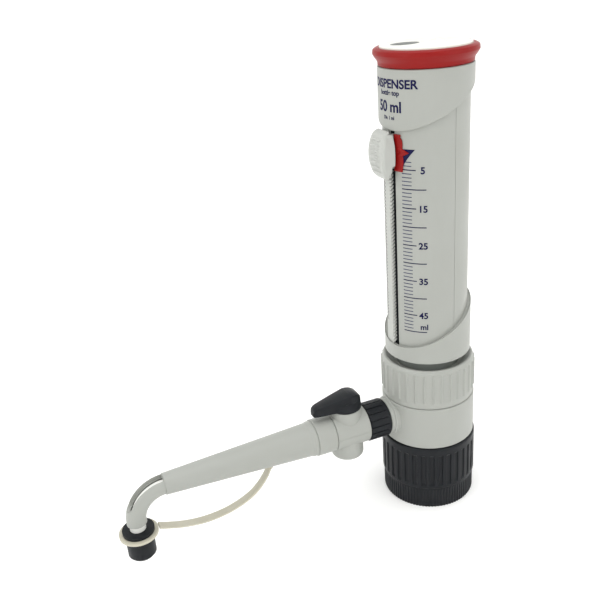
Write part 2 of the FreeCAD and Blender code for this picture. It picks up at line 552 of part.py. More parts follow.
def make_rail():
    rail = padded("ratchet_rail", "XY_Plane", [
        ("-rail_half", "-rail_front"), ("rail_half", "-rail_front"), ("rail_half", "-rail_step"),
        ("-rail_half", "-rail_step")], "rail_high - rail_low", "rail_low")
    strip = rail.newObject("PartDesign::Pad", "rail_strip")
    strip.Profile = outline(rail, "XZ_Plane", [
        ("-foot_half", "strip_low"), ("foot_half", "strip_low"), ("foot_half", "foot_low_top"),
        ("rail_strip_half", "foot_low_top"), ("rail_strip_half", "foot_high_low"),
        ("foot_half", "foot_high_low"), ("foot_half", "strip_high"), ("-foot_half", "strip_high"),
        ("-foot_half", "foot_high_low"), ("-rail_strip_half", "foot_high_low"),
        ("-rail_strip_half", "foot_low_top"), ("-foot_half", "foot_low_top")], "rail_back")
    strip.setExpression("Length", cells("rail_step - rail_back"))
    rail.Tip = strip
    doc.recompute()
    tooth = rail.newObject("PartDesign::Pad", "rail_tooth")
    tooth.Profile = outline(rail, "XZ_Plane", [
        (("rail_half - spare", "rail_low"), ("rail_half + rail_tooth", "rail_low"),
         ("rail_half", "rail_low + rail_pitch"), ("rail_half - spare", "rail_low + rail_pitch")),
        (("spare - rail_half", "rail_low"), ("-rail_half - rail_tooth", "rail_low"),
         ("-rail_half", "rail_low + rail_pitch"),
         ("spare - rail_half", "rail_low + rail_pitch"))], "rail_step")
    tooth.setExpression("Length", cells("rail_front - rail_step"))
    rail.Tip = tooth
    doc.recompute()
    axis = [line for line in rail.Origin.OriginFeatures if line.Role == "Z_Axis"][0]
    row = rail.newObject("PartDesign::LinearPattern", "rail_teeth")
    row.Originals = [tooth]
    row.Direction = (axis, [""])
    row.setExpression("Length", cells("rail_pitch * (rail_teeth - 1)"))
    row.setExpression("Occurrences", cells("rail_teeth"))
    rail.Tip = row
    doc.recompute()
    keep("ratchet_rail", rail)


def make_cursor():
    channel = padded("frame_channel", "XY_Plane", [
        ("-frame_half", "-frame_front"), ("frame_half", "-frame_front"), ("frame_half", "-frame_finger"),
        ("frame_gap_half", "-frame_finger"), ("frame_gap_half", "-frame_inner"),
        ("-frame_gap_half", "-frame_inner"), ("-frame_gap_half", "-frame_finger"),
        ("-frame_half", "-frame_finger")], "frame_high - frame_low", "frame_low")
    post = arm_cylinder("frame_post", "post_rad", "frame_inner + spare", "post_front")
    post.setExpression("Placement.Base.z", cells("cursor_mid"))
    keep("cursor_frame", fused("cursor_frame", channel, post))

    plate = doc.addObject("PartDesign::Body", "pointer_plate")
    spin = plate.newObject("PartDesign::Revolution", "pointer_turn")
    sketch = outline(plate, "XZ_Plane", [
        ("pointer_bore_rad", "pointer_low"), ("pointer_rad", "pointer_low"),
        ("pointer_rad", "pointer_high"),
        ("pointer_bore_rad", "pointer_high")])
    spin.Profile = sketch
    spin.ReferenceAxis = (sketch, ["V_Axis"])
    spin.setExpression("Angle", cells("pointer_edge - pointer_start"))
    plate.Tip = spin
    plate.setExpression("Placement.Rotation.Angle", cells("pointer_start - 90"))
    tip = math.radians(dims["arrow_tip"] - 90)
    root = math.radians(dims["arrow_root"] - 90)
    reach = dims["pointer_rad"] + 2 * dims["over"]
    arrow = doc.addObject("Part::Feature", "pointer_arrow")
    wedge = [Vector(reach * math.cos(root), reach * math.sin(root), dims["arrow_mid"] + dims["arrow_half"]),
             Vector(reach * math.cos(tip), reach * math.sin(tip), dims["arrow_mid"]),
             Vector(reach * math.cos(root), reach * math.sin(root), dims["arrow_mid"] - dims["arrow_half"])]
    face = Part.Face(Part.makePolygon(wedge + wedge[:1]))
    arrow.Shape = face.extrude(Vector(-math.cos(root), -math.sin(root), 0) * dims["arrow_deep"])
    shell = cut("pointer_skin", cylinder("pointer_outer", "pointer_rad", "pointer_low", "pointer_high"),
                cylinder("pointer_inner", "pointer_bore_rad", "pointer_low - over", "pointer_high + over"))
    keep("volume_pointer", fused("volume_pointer", plate, common("arrow_skin", arrow, shell)))

    blank = box("button_blank", "button_half", "button_back", "button_front", "button_low",
                "button_high")
    crown = doc.addObject("Part::Cylinder", "button_crown")
    crown.Placement = FreeCAD.Placement(Vector(0, 0, 0), FreeCAD.Rotation(Vector(0, 1, 0), 90))
    sag = "(button_front - button_end)"
    bulge = f"(((button_high - button_low) / 2) ^ 2 + {sag} ^ 2) / (2 * {sag})"
    crown.setExpression("Radius", cells(bulge))
    crown.setExpression("Height", cells("4 * button_half"))
    crown.setExpression("Placement.Base.x", cells("-2 * button_half"))
    crown.setExpression("Placement.Base.y", cells(f"{bulge} - button_front"))
    crown.setExpression("Placement.Base.z", cells("(button_low + button_high) / 2"))
    body = common("button_body", blank, crown)
    clear = cylinder("button_clear", "button_clear_rad", "button_low - over", "button_high + over")
    relief = cylinder("button_relief", "button_relief_rad", "button_low - over", "button_relief_high")
    room = box("button_room", "button_room_half", "button_back", "button_room_front",
               "button_room_low", "button_room_high")
    well = arm_cylinder("button_well", "button_well_rad", "button_back", "button_well_front")
    well.setExpression("Placement.Base.z", cells("cursor_mid"))
    gate = box("button_gate", "button_gate_half", "button_back", "button_gate_front",
               "button_room_low", "button_high + over")
    shape = cut("button_shape", body, clear, relief, gate)
    soft = edges_rounded("button_soft", shape, "button_round", button_front_edge)
    keep("cursor_button", cut("cursor_button", soft, room, well))

    spring = coil("button_spring", "button_spring_rad", "button_wire_rad", "button_spring_back",
                  "button_spring_front", 3)
    spring.Placement = FreeCAD.Placement(Vector(0, 0, 0), FreeCAD.Rotation(Vector(1, 0, 0), 90))
    spring.setExpression("Placement.Base.z", cells("cursor_mid"))
    keep("button_spring", spring)


def button_front_edge(edge):
    """The edges of the button's face: all that lie wholly in front of the housing."""
    return edge.BoundBox.YMax < dims["spare"] - dims["button_end"]


def make_union():
    nut = revolved("union_nut", [
        ("union_bore_rad", "union_start"), ("union_rad - union_edge", "union_start"),
        ("union_rad", "union_start + union_edge"), ("union_rad", "union_end - union_edge"),
        ("union_rad - union_edge", "union_end"), ("union_hole_rad", "union_end"),
        ("union_hole_rad", "union_lip"), ("union_bore_rad", "union_lip")])
    notch = [("union_rad - union_groove_deep", "union_groove_half - flute_slope"),
             ("union_rad + spare", "union_groove_half"), ("union_rad + spare", "-union_groove_half"),
             ("union_rad - union_groove_deep", "flute_slope - union_groove_half")]
    cut_flutes(nut, notch, "union_groove_end", "union_groove_end - union_groove_start", "union_ribs")
    keep("union_nut", along_arm(nut))


def make_stopcock():
    barrel = along_arm(revolved("cock_barrel", [
        ("cock_bore_rad", "neck_flange_start"), ("neck_flange_rad", "neck_flange_start"),
        ("neck_flange_rad", "neck_flange_end"), ("neck_rad", "neck_flange_end"),
        ("neck_rad", "cock_start"),
        ("cock_rad - cock_edge", "cock_start"), ("cock_rad", "cock_start + cock_edge"),
        ("cock_rad", "cock_end - cock_edge"), ("cock_rad - cock_edge", "cock_end"),
        ("cock_spigot_rad", "cock_end"), ("cock_spigot_rad", "cock_spigot_end"),
        ("cock_bore_rad", "cock_spigot_end")]))
    post = cylinder("cock_post", "cock_boss_rad", "arm_height", "cock_boss_top", "cock_reach")
    boss = common("cock_boss", post, box("boss_trim", "2 * cock_rad", "cock_start", "cock_end",
                                         "arm_height", "cock_boss_top + over"))
    drum = revolved("cock_drum", [
        ("0", "drum_low"), ("drum_rad", "drum_low", "drum_round"), ("drum_rad", "arm_height"),
        ("0", "arm_height")])
    drum.setExpression("Placement.Base.y", cells("-cock_reach"))
    collar_room = arm_cylinder("collar_room", "collar_rad + split_gap", "cock_end", "collar_end")
    blank = fused("cock_blank", barrel, boss, cut("drum_body", drum, collar_room))
    room = cylinder("liner_room", "liner_room_rad", "liner_room_low", "liner_room_high", "cock_reach")
    shaft = cylinder("shaft_hole", "shaft_hole_rad", "arm_height", "cock_boss_top + over", "cock_reach")
    way = arm_cylinder("cock_way", "cock_bore_rad", "neck_flange_start - over", "cock_spigot_end + over")
    whole = cut("cock_whole", blank, room, shaft, way)
    above = box("above_split", "2 * cock_rad", "neck_flange_start - over", "cock_spigot_end + over",
                "arm_height + split_gap / 2", "cock_boss_top + over")
    below = box("below_split", "2 * cock_rad", "neck_flange_start - over", "cock_spigot_end + over",
                "drum_low - over", "arm_height - split_gap / 2")
    keep("stopcock_upper", common("stopcock_upper", whole, above))
    keep("stopcock_lower", common("stopcock_lower", whole, below))

    liner_way = arm_cylinder("liner_way", "channel_rad", "cock_reach - liner_rad - over",
                             "cock_reach + liner_rad + over")
    liner = cylinder("liner_blank", "liner_rad", "liner_low", "liner_high", "cock_reach")
    well = cylinder("plug_room", "plug_room_rad", "liner_low - over", "liner_high + over", "cock_reach")
    keep("stopcock_liner", cut("stopcock_liner", liner, well, liner_way))
    key = cylinder("plug_blank", "plug_rad", "plug_low", "plug_high", "cock_reach")
    plug_way = arm_cylinder("plug_way", "channel_rad", "cock_reach - liner_rad", "cock_reach + liner_rad")
    keep("stopcock_plug", cut("stopcock_plug", key, plug_way))

    side = padded("lever_side", "YZ_Plane", [
        ("-lever_back", "lever_low"), ("-lever_back", "lever_heel_low"),
        ("-lever_heel_reach", "lever_heel_high"), ("-lever_crown_reach", "lever_top"),
        ("-lever_nose_reach", "lever_tip_top"), ("-lever_tip", "lever_nose_low"),
        ("-lever_chin_reach", "lever_tip_low"), ("-cock_reach - lever_hub_rad", "lever_hub_side"),
        ("-cock_reach - lever_hub_rad", "lever_low")], "4 * lever_root_half", symmetric=True)
    plan = padded("lever_plan", "XY_Plane", [
        ("lever_back_half", "-lever_back"), ("lever_root_half", "-lever_wide_reach"),
        ("lever_root_half", "-cock_reach"), ("lever_tip_half", "-lever_tip"),
        ("-lever_tip_half", "-lever_tip"),
        ("-lever_root_half", "-cock_reach"), ("-lever_root_half", "-lever_wide_reach"),
        ("-lever_back_half", "-lever_back")], "lever_top - lever_low + over", "lever_low")
    hub = cylinder("lever_hub", "lever_hub_rad", "lever_low", "lever_hub_top", "cock_reach")
    socket = cylinder("lever_socket", "plug_rad", "lever_low - over", "plug_high", "cock_reach")
    blade = edges_rounded("lever_blade", common("lever_wedge", side, plan), "lever_round",
                          lambda edge: edge.BoundBox.ZMin > dims["lever_nose_low"] - dims["spare"])
    keep("stopcock_lever", cut("stopcock_lever", fused("lever_blank", blade, hub), socket))


def make_nozzle():
    keep("nozzle_collar", along_arm(revolved("nozzle_collar", [
        ("collar_socket_rad", "collar_start"), ("collar_rad - cock_edge", "collar_start"),
        ("collar_rad", "collar_start + cock_edge"), ("collar_rad", "collar_end - cock_edge"),
        ("collar_rad - cock_edge", "collar_end"), ("collar_mouth_rad", "collar_end"),
        ("collar_mouth_rad", "collar_web_end"), ("cock_bore_rad", "collar_web_end"),
        ("cock_bore_rad", "collar_web"), ("collar_socket_rad", "collar_web")])))
    sheath = along_arm(revolved("cover_sheath", [
        ("cover_plug_bore_rad", "cover_plug_start"), ("cover_plug_rad", "cover_plug_start"),
        ("cover_plug_rad", "cover_start"), ("cover_lip_rad", "cover_start"),
        ("cover_lip_rad", "cover_lip_end"),
        ("cover_rad", "cover_taper_start"), ("cover_tip_rad", "cover_end"),
        ("cover_tip_bore_rad", "cover_end"),
        ("cover_bore_rad", "cover_bore_start + cover_bore_taper"),
        ("cover_plug_bore_rad", "cover_bore_start")]))
    hole = cylinder("anchor_hole", "anchor_hole_rad", "anchor_low - over", "arm_height", "anchor_reach")
    keep("nozzle_cover", cut("nozzle_cover", sheath, hole))
    keep("strap_anchor", revolved("strap_anchor", [
        ("0", "anchor_low"), ("anchor_rad", "anchor_low"), ("anchor_rad", "anchor_low + anchor_head"),
        ("anchor_stem_rad", "anchor_low + anchor_head"), ("anchor_stem_rad", "anchor_top"),
        ("0", "anchor_top")]))
    nodes["strap_anchor"].setExpression("Placement.Base.y", cells("-anchor_reach"))


def bend(name, radius):
    """The quarter turn from the arm's line to the spout's, as thick as twice radius."""
    piece = doc.addObject("Part::Torus", name)
    piece.setExpression("Radius1", cells("bend_rad"))
    piece.setExpression("Radius2", cells(radius))
    piece.Angle3 = 90
    turn = FreeCAD.Rotation(Vector(0, 0, 1), Vector(0, -1, 0), Vector(1, 0, 0), "ZXY")
    piece.Placement = FreeCAD.Placement(Vector(0, 0, 0), turn)
    piece.setExpression("Placement.Base.y", cells("-cover_end"))
    piece.setExpression("Placement.Base.z", cells("arm_height - bend_rad"))
    return piece


def bent_tube(name, radius, start, low):
    """A round bar along the arm, round the bend and down the spout."""
    return fused(name, arm_cylinder(name + "_run", radius, start, "cover_end"), bend(name + "_bend", radius),
                 cylinder(name + "_drop", radius, low, "arm_height - bend_rad", "cover_end + bend_rad"))


def make_spout():
    skin = fused("elbow_skin", bend("elbow_bend", "elbow_rad"),
                 cylinder("elbow_drop", "elbow_rad", "elbow_low", "arm_height - bend_rad",
                          "cover_end + bend_rad"),
                 arm_cylinder("elbow_spigot", "elbow_spigot_rad", "elbow_spigot_start", "cover_end"))
    bore = bent_tube("elbow_bore", "elbow_bore_rad", "elbow_spigot_start - over", "elbow_low - over")
    slab = box("elbow_slab", "elbow_slot_half", "cover_end + elbow_slot_from",
               "cover_end + bend_rad + 2 * elbow_rad", "elbow_slot_low + elbow_slot_half",
               "arm_height + 2 * elbow_rad")
    slot_end = arm_cylinder("elbow_slot_end", "elbow_slot_half", "cover_end + bend_rad",
                            "cover_end + bend_rad + 2 * elbow_rad")
    slot_end.setExpression("Placement.Base.z", cells("elbow_slot_low + elbow_slot_half"))
    core = doc.addObject("Part::Cylinder", "elbow_core")
    core.Placement = FreeCAD.Placement(Vector(0, 0, 0), FreeCAD.Rotation(Vector(0, 1, 0), 90))
    core.setExpression("Radius", cells("elbow_slot_floor_rad"))
    core.setExpression("Height", cells("4 * elbow_slot_half"))
    core.setExpression("Placement.Base.x", cells("-2 * elbow_slot_half"))
    core.setExpression("Placement.Base.y", cells("-cover_end"))
    core.setExpression("Placement.Base.z", cells("arm_height - bend_rad"))
    slot = cut("elbow_slot", fused("elbow_way", slab, slot_end), core)
    keep("spout_elbow", cut("spout_elbow", skin, bore, slot))
    tube_skin = bent_tube("tube_skin", "tube_rad", "tube_start", "tube_low")
    tube_bore = bent_tube("tube_bore", "tube_bore_rad", "tube_start - over", "tube_low - over")
    keep("delivery_tube", cut("delivery_tube", tube_skin, tube_bore))
    keep("spout_tip", at_spout(revolved("spout_tip", [
        ("tip_bore_rad", "tip_low"), ("tip_rad - tip_taper", "tip_low"),
        ("tip_rad", "tip_low + 2 * tip_taper"),
        ("tip_rad", "elbow_low"), ("tip_neck_rad", "elbow_low"), ("tip_neck_rad", "tip_neck_top"),
        ("tip_bore_rad", "tip_neck_top")])))
    keep("nozzle_cap", at_spout(revolved("nozzle_cap", [
        ("0", "cap_low"), ("cap_chamfer_rad", "cap_low"), ("cap_rad", "cap_chamfer_top"),
        ("cap_rad", "cap_flange_low"), ("cap_flange_rad", "cap_flange_low"),
        ("cap_flange_rad", "cap_top"),
        ("cap_bore_rad", "cap_top"), ("cap_bore_rad", "cap_bore_low"), ("0", "cap_bore_low")])))
    keep("strap_ring", at_spout(revolved("strap_ring", [
        ("eye_bore_rad", "eye_low"), ("eye_rad", "eye_low"), ("eye_rad", "eye_top"),
        ("eye_bore_rad", "eye_top")])))


def make_strap():
    """The flat retaining strap, as runs joined by tangent arcs. Points are (y, z) on its middle line."""
    arc_share = 0.45
    route = [(-168.9, 31.2), (-163.0, 28.9), (-153.5, 26.3), (-144.0, 25.1), (-135.0, 25.5),
    (-126.0, 27.3),
             (-117.5, 30.7), (-111.5, 34.9), (-107.4, 39.6), (-104.8, 43.3), (-103.4, 46.6)]
    points = [Vector(0, y, z) for y, z in route]
    edges = []
    at = points[0]
    radii = []
    for i in range(1, len(points) - 1):
        back = points[i - 1] - points[i]
        on = points[i + 1] - points[i]
        turn = math.pi - back.getAngle(on)
        leg = arc_share * min(back.Length, on.Length)
        radii.append(leg / math.tan(turn / 2))
        enter = points[i] + back.normalize() * leg
        leave = points[i] + on.normalize() * leg
        half_way = (enter + leave) * 0.5
        centre = points[i] + (half_way - points[i]).normalize() * (radii[-1] / math.cos(turn / 2))
        middle = centre + (points[i] - centre).normalize() * radii[-1]
        edges.append(Part.LineSegment(at, enter).toShape())
        edges.append(Part.Arc(enter, middle, leave).toShape())
        at = leave
    edges.append(Part.LineSegment(at, points[-1]).toShape())
    path = Part.Wire(edges)
    print("strap radii", [round(r, 1) for r in radii], "length", round(path.Length, 1))
    wide, thick = dims["strap_wide"] / 2, dims["strap_thick"] / 2
    tangent = (points[1] - points[0]).normalize()
    up = Vector(1, 0, 0).cross(tangent)
    corners = [points[0] + Vector(1, 0, 0) * a * wide + up * b * thick
               for a, b in ((-1, -1), (1, -1), (1, 1), (-1, 1), (-1, -1))]
    solid = path.makePipeShell([Part.makePolygon(corners)], True, False)
    expected = 4 * wide * thick * path.Length
    assert abs(solid.Volume / expected - 1) < near, (solid.Volume, expected)
    strap = doc.addObject("Part::Feature", "cap_strap")
    strap.Shape = solid
    strap.Placement = FreeCAD.Placement()
    keep("cap_strap", strap)


make_base()
make_block()
make_valves()
make_barrel()
make_clamp_nut()
make_plunger()
make_housing()
make_rail()
make_cursor()
make_union()
make_stopcock()
make_nozzle()
make_spout()
make_strap()
doc.recompute()

for piece in doc.Objects:
    assert not {"Invalid", "Error"} & set(piece.State), (piece.Label, piece.State)
for name, piece in nodes.items():
    assert not piece.Shape.isNull() and piece.Shape.isValid(), name
    assert piece.Shape.Volume > 0, name

os.makedirs("parts", exist_ok=True)
for name, piece in nodes.items():
    piece.Shape.exportStep(f"parts/{name}.step")
    shape = piece.Shape
    print(f"{name:20s} solids {len(shape.Solids)} volume {shape.Volume:10.1f} "
          f"z {shape.BoundBox.ZMin:7.2f} {shape.BoundBox.ZMax:7.2f}")
print(len(nodes), "sub-parts")
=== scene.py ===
import math

import bmesh
import bpy
from mathutils import Matrix, Vector


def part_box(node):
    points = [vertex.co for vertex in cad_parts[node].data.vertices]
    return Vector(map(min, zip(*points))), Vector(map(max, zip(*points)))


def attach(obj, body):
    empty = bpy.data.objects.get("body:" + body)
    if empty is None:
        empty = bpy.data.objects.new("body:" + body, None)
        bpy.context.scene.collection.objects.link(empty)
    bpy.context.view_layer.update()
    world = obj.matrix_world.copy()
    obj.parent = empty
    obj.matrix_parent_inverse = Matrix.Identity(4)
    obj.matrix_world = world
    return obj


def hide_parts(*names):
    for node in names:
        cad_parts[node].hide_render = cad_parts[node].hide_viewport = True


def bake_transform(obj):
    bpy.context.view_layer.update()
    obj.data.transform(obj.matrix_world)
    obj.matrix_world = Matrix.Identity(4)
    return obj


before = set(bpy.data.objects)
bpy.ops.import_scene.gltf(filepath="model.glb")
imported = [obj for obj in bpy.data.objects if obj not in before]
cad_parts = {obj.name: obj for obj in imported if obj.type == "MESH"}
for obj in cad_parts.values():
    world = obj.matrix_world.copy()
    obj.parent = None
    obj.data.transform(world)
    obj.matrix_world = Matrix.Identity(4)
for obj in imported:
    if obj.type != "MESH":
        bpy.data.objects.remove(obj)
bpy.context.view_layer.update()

# Bottle-top dispenser. Pieces are made in millimetres about the barrel's axis and scaled to metres
# when they are added. Turns are measured from the arm, which points along -Y, towards +X.
mm = 0.001


def nodeBox(node):
    low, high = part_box(node)
    return Vector(low) / mm, Vector(high) / mm


def onTurn(turn, radius, z):
    angle = math.radians(turn - 90)
    return Vector((radius * math.cos(angle), radius * math.sin(angle), z))


# Materials.
def linear(hexColour):
    channels = [int(hexColour[i:i + 2], 16) / 255 for i in (0, 2, 4)]
    return tuple(c / 12.92 if c <= 0.04045 else ((c + 0.055) / 1.055) ** 2.4 for c in channels) + (1.0,)


def addNode(tree, kind, settings={}, links={}):
    node = tree.nodes.new(kind)
    for name, value in settings.items():
        if isinstance(name, int) or name in node.inputs:
            node.inputs[name].default_value = value
        else:
            setattr(node, name, value)
    for name, source in links.items():
        tree.links.new(source, node.inputs[name])
    return node


def newMaterial(name):
    material = bpy.data.materials.new(name)
    material.use_nodes = True
    tree = material.node_tree
    tree.nodes.clear()
    shader = addNode(tree, "ShaderNodeBsdfPrincipled")
    addNode(tree, "ShaderNodeOutputMaterial", {}, {"Surface": shader.outputs["BSDF"]})
    return material, tree, shader


def sparkErodedPlastic(name, look):
    # Injection moulded polypropylene from a spark-eroded mould: an even satin grain, a faint milky
    # depth and a colour that drifts a little with the flow of the melt.
    material, tree, shader = newMaterial(name)
    place = addNode(tree, "ShaderNodeTexCoord")
    grain = addNode(tree, "ShaderNodeTexNoise", {"Scale": 1 / (look["grainMm"] * mm), "Detail": 3.0,
                                                 "Roughness": 0.6}, {"Vector": place.outputs["Object"]})
    flow = addNode(tree, "ShaderNodeTexNoise", {"Scale": 1 / (look["flowMm"] * mm), "Detail": 2.0,
                                               "Distortion": 0.6}, {"Vector": place.outputs["Object"]})
    tint = addNode(tree, "ShaderNodeMix", {"data_type": "RGBA", 6: linear(look["colour"]),
                                          7: linear(look["drift"])}, {0: flow.outputs["Fac"]})
    gloss = addNode(tree, "ShaderNodeMapRange", {"From Min": 0.3, "From Max": 0.7,
                                                 "To Min": look["roughness"] - 0.05,
                                                 "To Max": look["roughness"] + 0.06},
                    {"Value": flow.outputs["Fac"]})
    bump = addNode(tree, "ShaderNodeBump", {"Strength": look["bump"],
                                           "Distance": look["grainMm"] * mm * 0.4},
                   {"Height": grain.outputs["Fac"]})
    tree.links.new(tint.outputs[2], shader.inputs["Base Color"])
    tree.links.new(gloss.outputs["Result"], shader.inputs["Roughness"])
    tree.links.new(bump.outputs["Normal"], shader.inputs["Normal"])
    shader.inputs["IOR"].default_value = 1.49
    shader.inputs["Specular IOR Level"].default_value = look.get("sheen", 0.5)
    shader.inputs["Subsurface Weight"].default_value = look.get("milky", 0.0)
    shader.inputs["Subsurface Radius"].default_value = (0.9, 0.85, 0.75)
    shader.inputs["Subsurface Scale"].default_value = 0.6 * mm
    return material


def printInk(name, colour):
    # Pad-printed ink, a thin slightly glossier film that stands a few hundredths proud.
    material, tree, shader = newMaterial(name)
    place = addNode(tree, "ShaderNodeTexCoord")
    cover = addNode(tree, "ShaderNodeTexNoise", {"Scale": 1 / (0.5 * mm), "Detail": 2.0},
                    {"Vector": place.outputs["Object"]})
    thin = addNode(tree, "ShaderNodeMapRange", {"From Min": 0.25, "From Max": 0.75,
                                                "To Min": 0.0, "To Max": 0.25},
                   {"Value": cover.outputs["Fac"]})
    ink = addNode(tree, "ShaderNodeMix", {"data_type": "RGBA", 6: linear(colour[0]), 7: linear(colour[1])},
                  {0: thin.outputs["Result"]})
    tree.links.new(ink.outputs[2], shader.inputs["Base Color"])
    shader.inputs["Roughness"].default_value = 0.5
    shader.inputs["Specular IOR Level"].default_value = 0.2
    return material


def borosilicateGlass(name):
    # Drawn borosilicate tube: clear, with a very faint draw line along its length.
    material, tree, shader = newMaterial(name)
    place = addNode(tree, "ShaderNodeTexCoord")
    stretch = addNode(tree, "ShaderNodeMapping", {"Scale": (400.0, 400.0, 12.0)},
                      {"Vector": place.outputs["Object"]})
    draw = addNode(tree, "ShaderNodeTexNoise", {"Scale": 1.0, "Detail": 1.0},
                   {"Vector": stretch.outputs["Vector"]})
    bump = addNode(tree, "ShaderNodeBump", {"Strength": 0.06, "Distance": 0.05 * mm},
                   {"Height": draw.outputs["Fac"]})
    tree.links.new(bump.outputs["Normal"], shader.inputs["Normal"])
    shader.inputs["Base Color"].default_value = linear("F4F8F7")
    shader.inputs["Roughness"].default_value = 0.02
    shader.inputs["IOR"].default_value = 1.474
    shader.inputs["Transmission Weight"].default_value = 1.0
    return material


def drawnSteelWire(name):
    # Spring wire, drawn and lightly polished: fine lines along the wire break the highlight.
    material, tree, shader = newMaterial(name)
    place = addNode(tree, "ShaderNodeTexCoord")
    lines = addNode(tree, "ShaderNodeTexNoise", {"Scale": 1 / (0.2 * mm), "Detail": 2.0},
                    {"Vector": place.outputs["Object"]})
    gloss = addNode(tree, "ShaderNodeMapRange", {"To Min": 0.22, "To Max": 0.4},
                    {"Value": lines.outputs["Fac"]})
    tree.links.new(gloss.outputs["Result"], shader.inputs["Roughness"])
    shader.inputs["Base Color"].default_value = linear("B9BABC")
    shader.inputs["Metallic"].default_value = 1.0
    return material


greyPolypropylene = sparkErodedPlastic("satin grey polypropylene", {
    "colour": "A2A49F", "drift": "9C9E98", "roughness": 0.42, "grainMm": 0.35, "flowMm": 38,
    "bump": 0.16, "milky": 0.05})
paleGreyPolypropylene = sparkErodedPlastic("satin pale grey polypropylene", {
    "colour": "B4B6B1", "drift": "ADAFAA", "roughness": 0.38, "grainMm": 0.3, "flowMm": 20,
    "bump": 0.12, "milky": 0.06})
# Black plastic of the rings, nuts, lever and cap; also painted shade for the dark strip, shade bar and
# hatches in the rail's slot.
blackPolypropyleneAndPaintedShade = sparkErodedPlastic("satin black polypropylene and painted shade", {
    "colour": "15181C", "drift": "101317", "roughness": 0.42, "grainMm": 0.35, "flowMm": 30,
    "bump": 0.2, "sheen": 0.22})
redPolypropylene = sparkErodedPlastic("satin signal red polypropylene", {
    "colour": "8E0F0D", "drift": "820C0B", "roughness": 0.4, "grainMm": 0.3, "flowMm": 25,
    "bump": 0.12, "sheen": 0.22})
whitePolypropylene = sparkErodedPlastic("polished white polypropylene", {
    "colour": "E2E2DA", "drift": "DCDCD3", "roughness": 0.28, "grainMm": 0.4, "flowMm": 40,
    "bump": 0.05, "milky": 0.06})
naturalPolyethylene = sparkErodedPlastic("waxy natural polyethylene", {
    "colour": "C3BFAF", "drift": "BAB6A4", "roughness": 0.45, "grainMm": 0.5, "flowMm": 12,
    "bump": 0.1, "milky": 0.25})
turnedFluoropolymer = sparkErodedPlastic("turned white fluoropolymer", {
    "colour": "E9E9E4", "drift": "DFE0DB", "roughness": 0.35, "grainMm": 0.2, "flowMm": 8,
    "bump": 0.1, "milky": 0.2})
# The barrel guide's frosted natural tone is greyed down as painted shade, for the shadow seen through the
# slot and in the gap under the cup.
greyedFrostedPolypropyleneForShade = sparkErodedPlastic("frosted polypropylene greyed for painted shade", {
    "colour": "8E928E", "drift": "858985", "roughness": 0.45, "grainMm": 0.3, "flowMm": 30,
    "bump": 0.12, "milky": 0.2})
navyInk = printInk("navy pad print", ("04043A", "0C0C46"))
greyInk = printInk("grey pad print", ("3C3E5C", "4C4E68"))
dullGreyInk = printInk("dull grey pad print", ("6A6D6A", "7C7F7B"))
clearGlass = borosilicateGlass("clear borosilicate glass")
springWire = drawnSteelWire("drawn spring wire")
print("materials made")


# Camera, light and floor.
cameraSet = {"turn": 68.75, "rise": 24.17, "roll": -4.57, "distance": 428.67, "side": -71.52,
             "aimHigh": 130.47, "lens": 45.787, "sensor": 36.0}


def makeCamera(view):
    turn, rise, roll = (math.radians(view[k]) for k in ("turn", "rise", "roll"))
    back = Vector((math.sin(turn) * math.cos(rise), -math.cos(turn) * math.cos(rise), math.sin(rise)))
    right = Vector((math.cos(turn), math.sin(turn), 0))
    up = back.cross(right)
    aim = Vector((0, 0, view["aimHigh"])) + right * view["side"]
    across = right * math.cos(roll) + up * math.sin(roll)
    upright = up * math.cos(roll) - right * math.sin(roll)
    data = bpy.data.cameras.new("camera")
    data.lens = view["lens"]
    data.sensor_width = view["sensor"]
    data.clip_start = 0.01
    data.clip_end = 20
    camera = bpy.data.objects.new("camera", data)
    axes = Matrix((across, upright, back)).transposed()
    camera.matrix_world = Matrix.Translation((aim + back * view["distance"]) * mm) @ axes.to_4x4()
    bpy.context.scene.collection.objects.link(camera)
    bpy.context.scene.camera = camera


lightSet = {
    "overhead softbox": {"at": (0.05, -0.1, 1.5), "aim": (0, -0.06, 0.1), "size": 1.5, "power": 9.5},
    "left softbox": {"at": (0.15, -1.3, 0.7), "aim": (0, -0.05, 0.12), "size": 0.9, "power": 2.8},
    "right softbox": {"at": (1.25, 0.65, 0.75), "aim": (0, 0, 0.13), "size": 0.9, "power": 2.8},
}


def makeLights(lights):
    for name, lamp in lights.items():
        data = bpy.data.lights.new(name, "AREA")
        data.shape = "SQUARE"
        data.size = lamp["size"]
        data.energy = lamp["power"]
        light = bpy.data.objects.new(name, data)
        light.location = lamp["at"]
        light.rotation_mode = "QUATERNION"
        light.rotation_quaternion = (Vector(lamp["aim"]) - Vector(lamp["at"])).to_track_quat("-Z", "Y")
        bpy.context.scene.collection.objects.link(light)
    world = bpy.data.worlds.new("studio")
    world.use_nodes = True
    world.node_tree.nodes["Background"].inputs["Color"].default_value = linear("FAFAFA")
    world.node_tree.nodes["Background"].inputs["Strength"].default_value = 0.86
    bpy.context.scene.world = world
    bpy.context.scene.view_settings.view_transform = "Standard"


sweepSet = {"glow": 0.13, "floorRadius": 2.2, "bend": 0.8, "high": 3.2, "steps": 96, "bendSteps": 8}


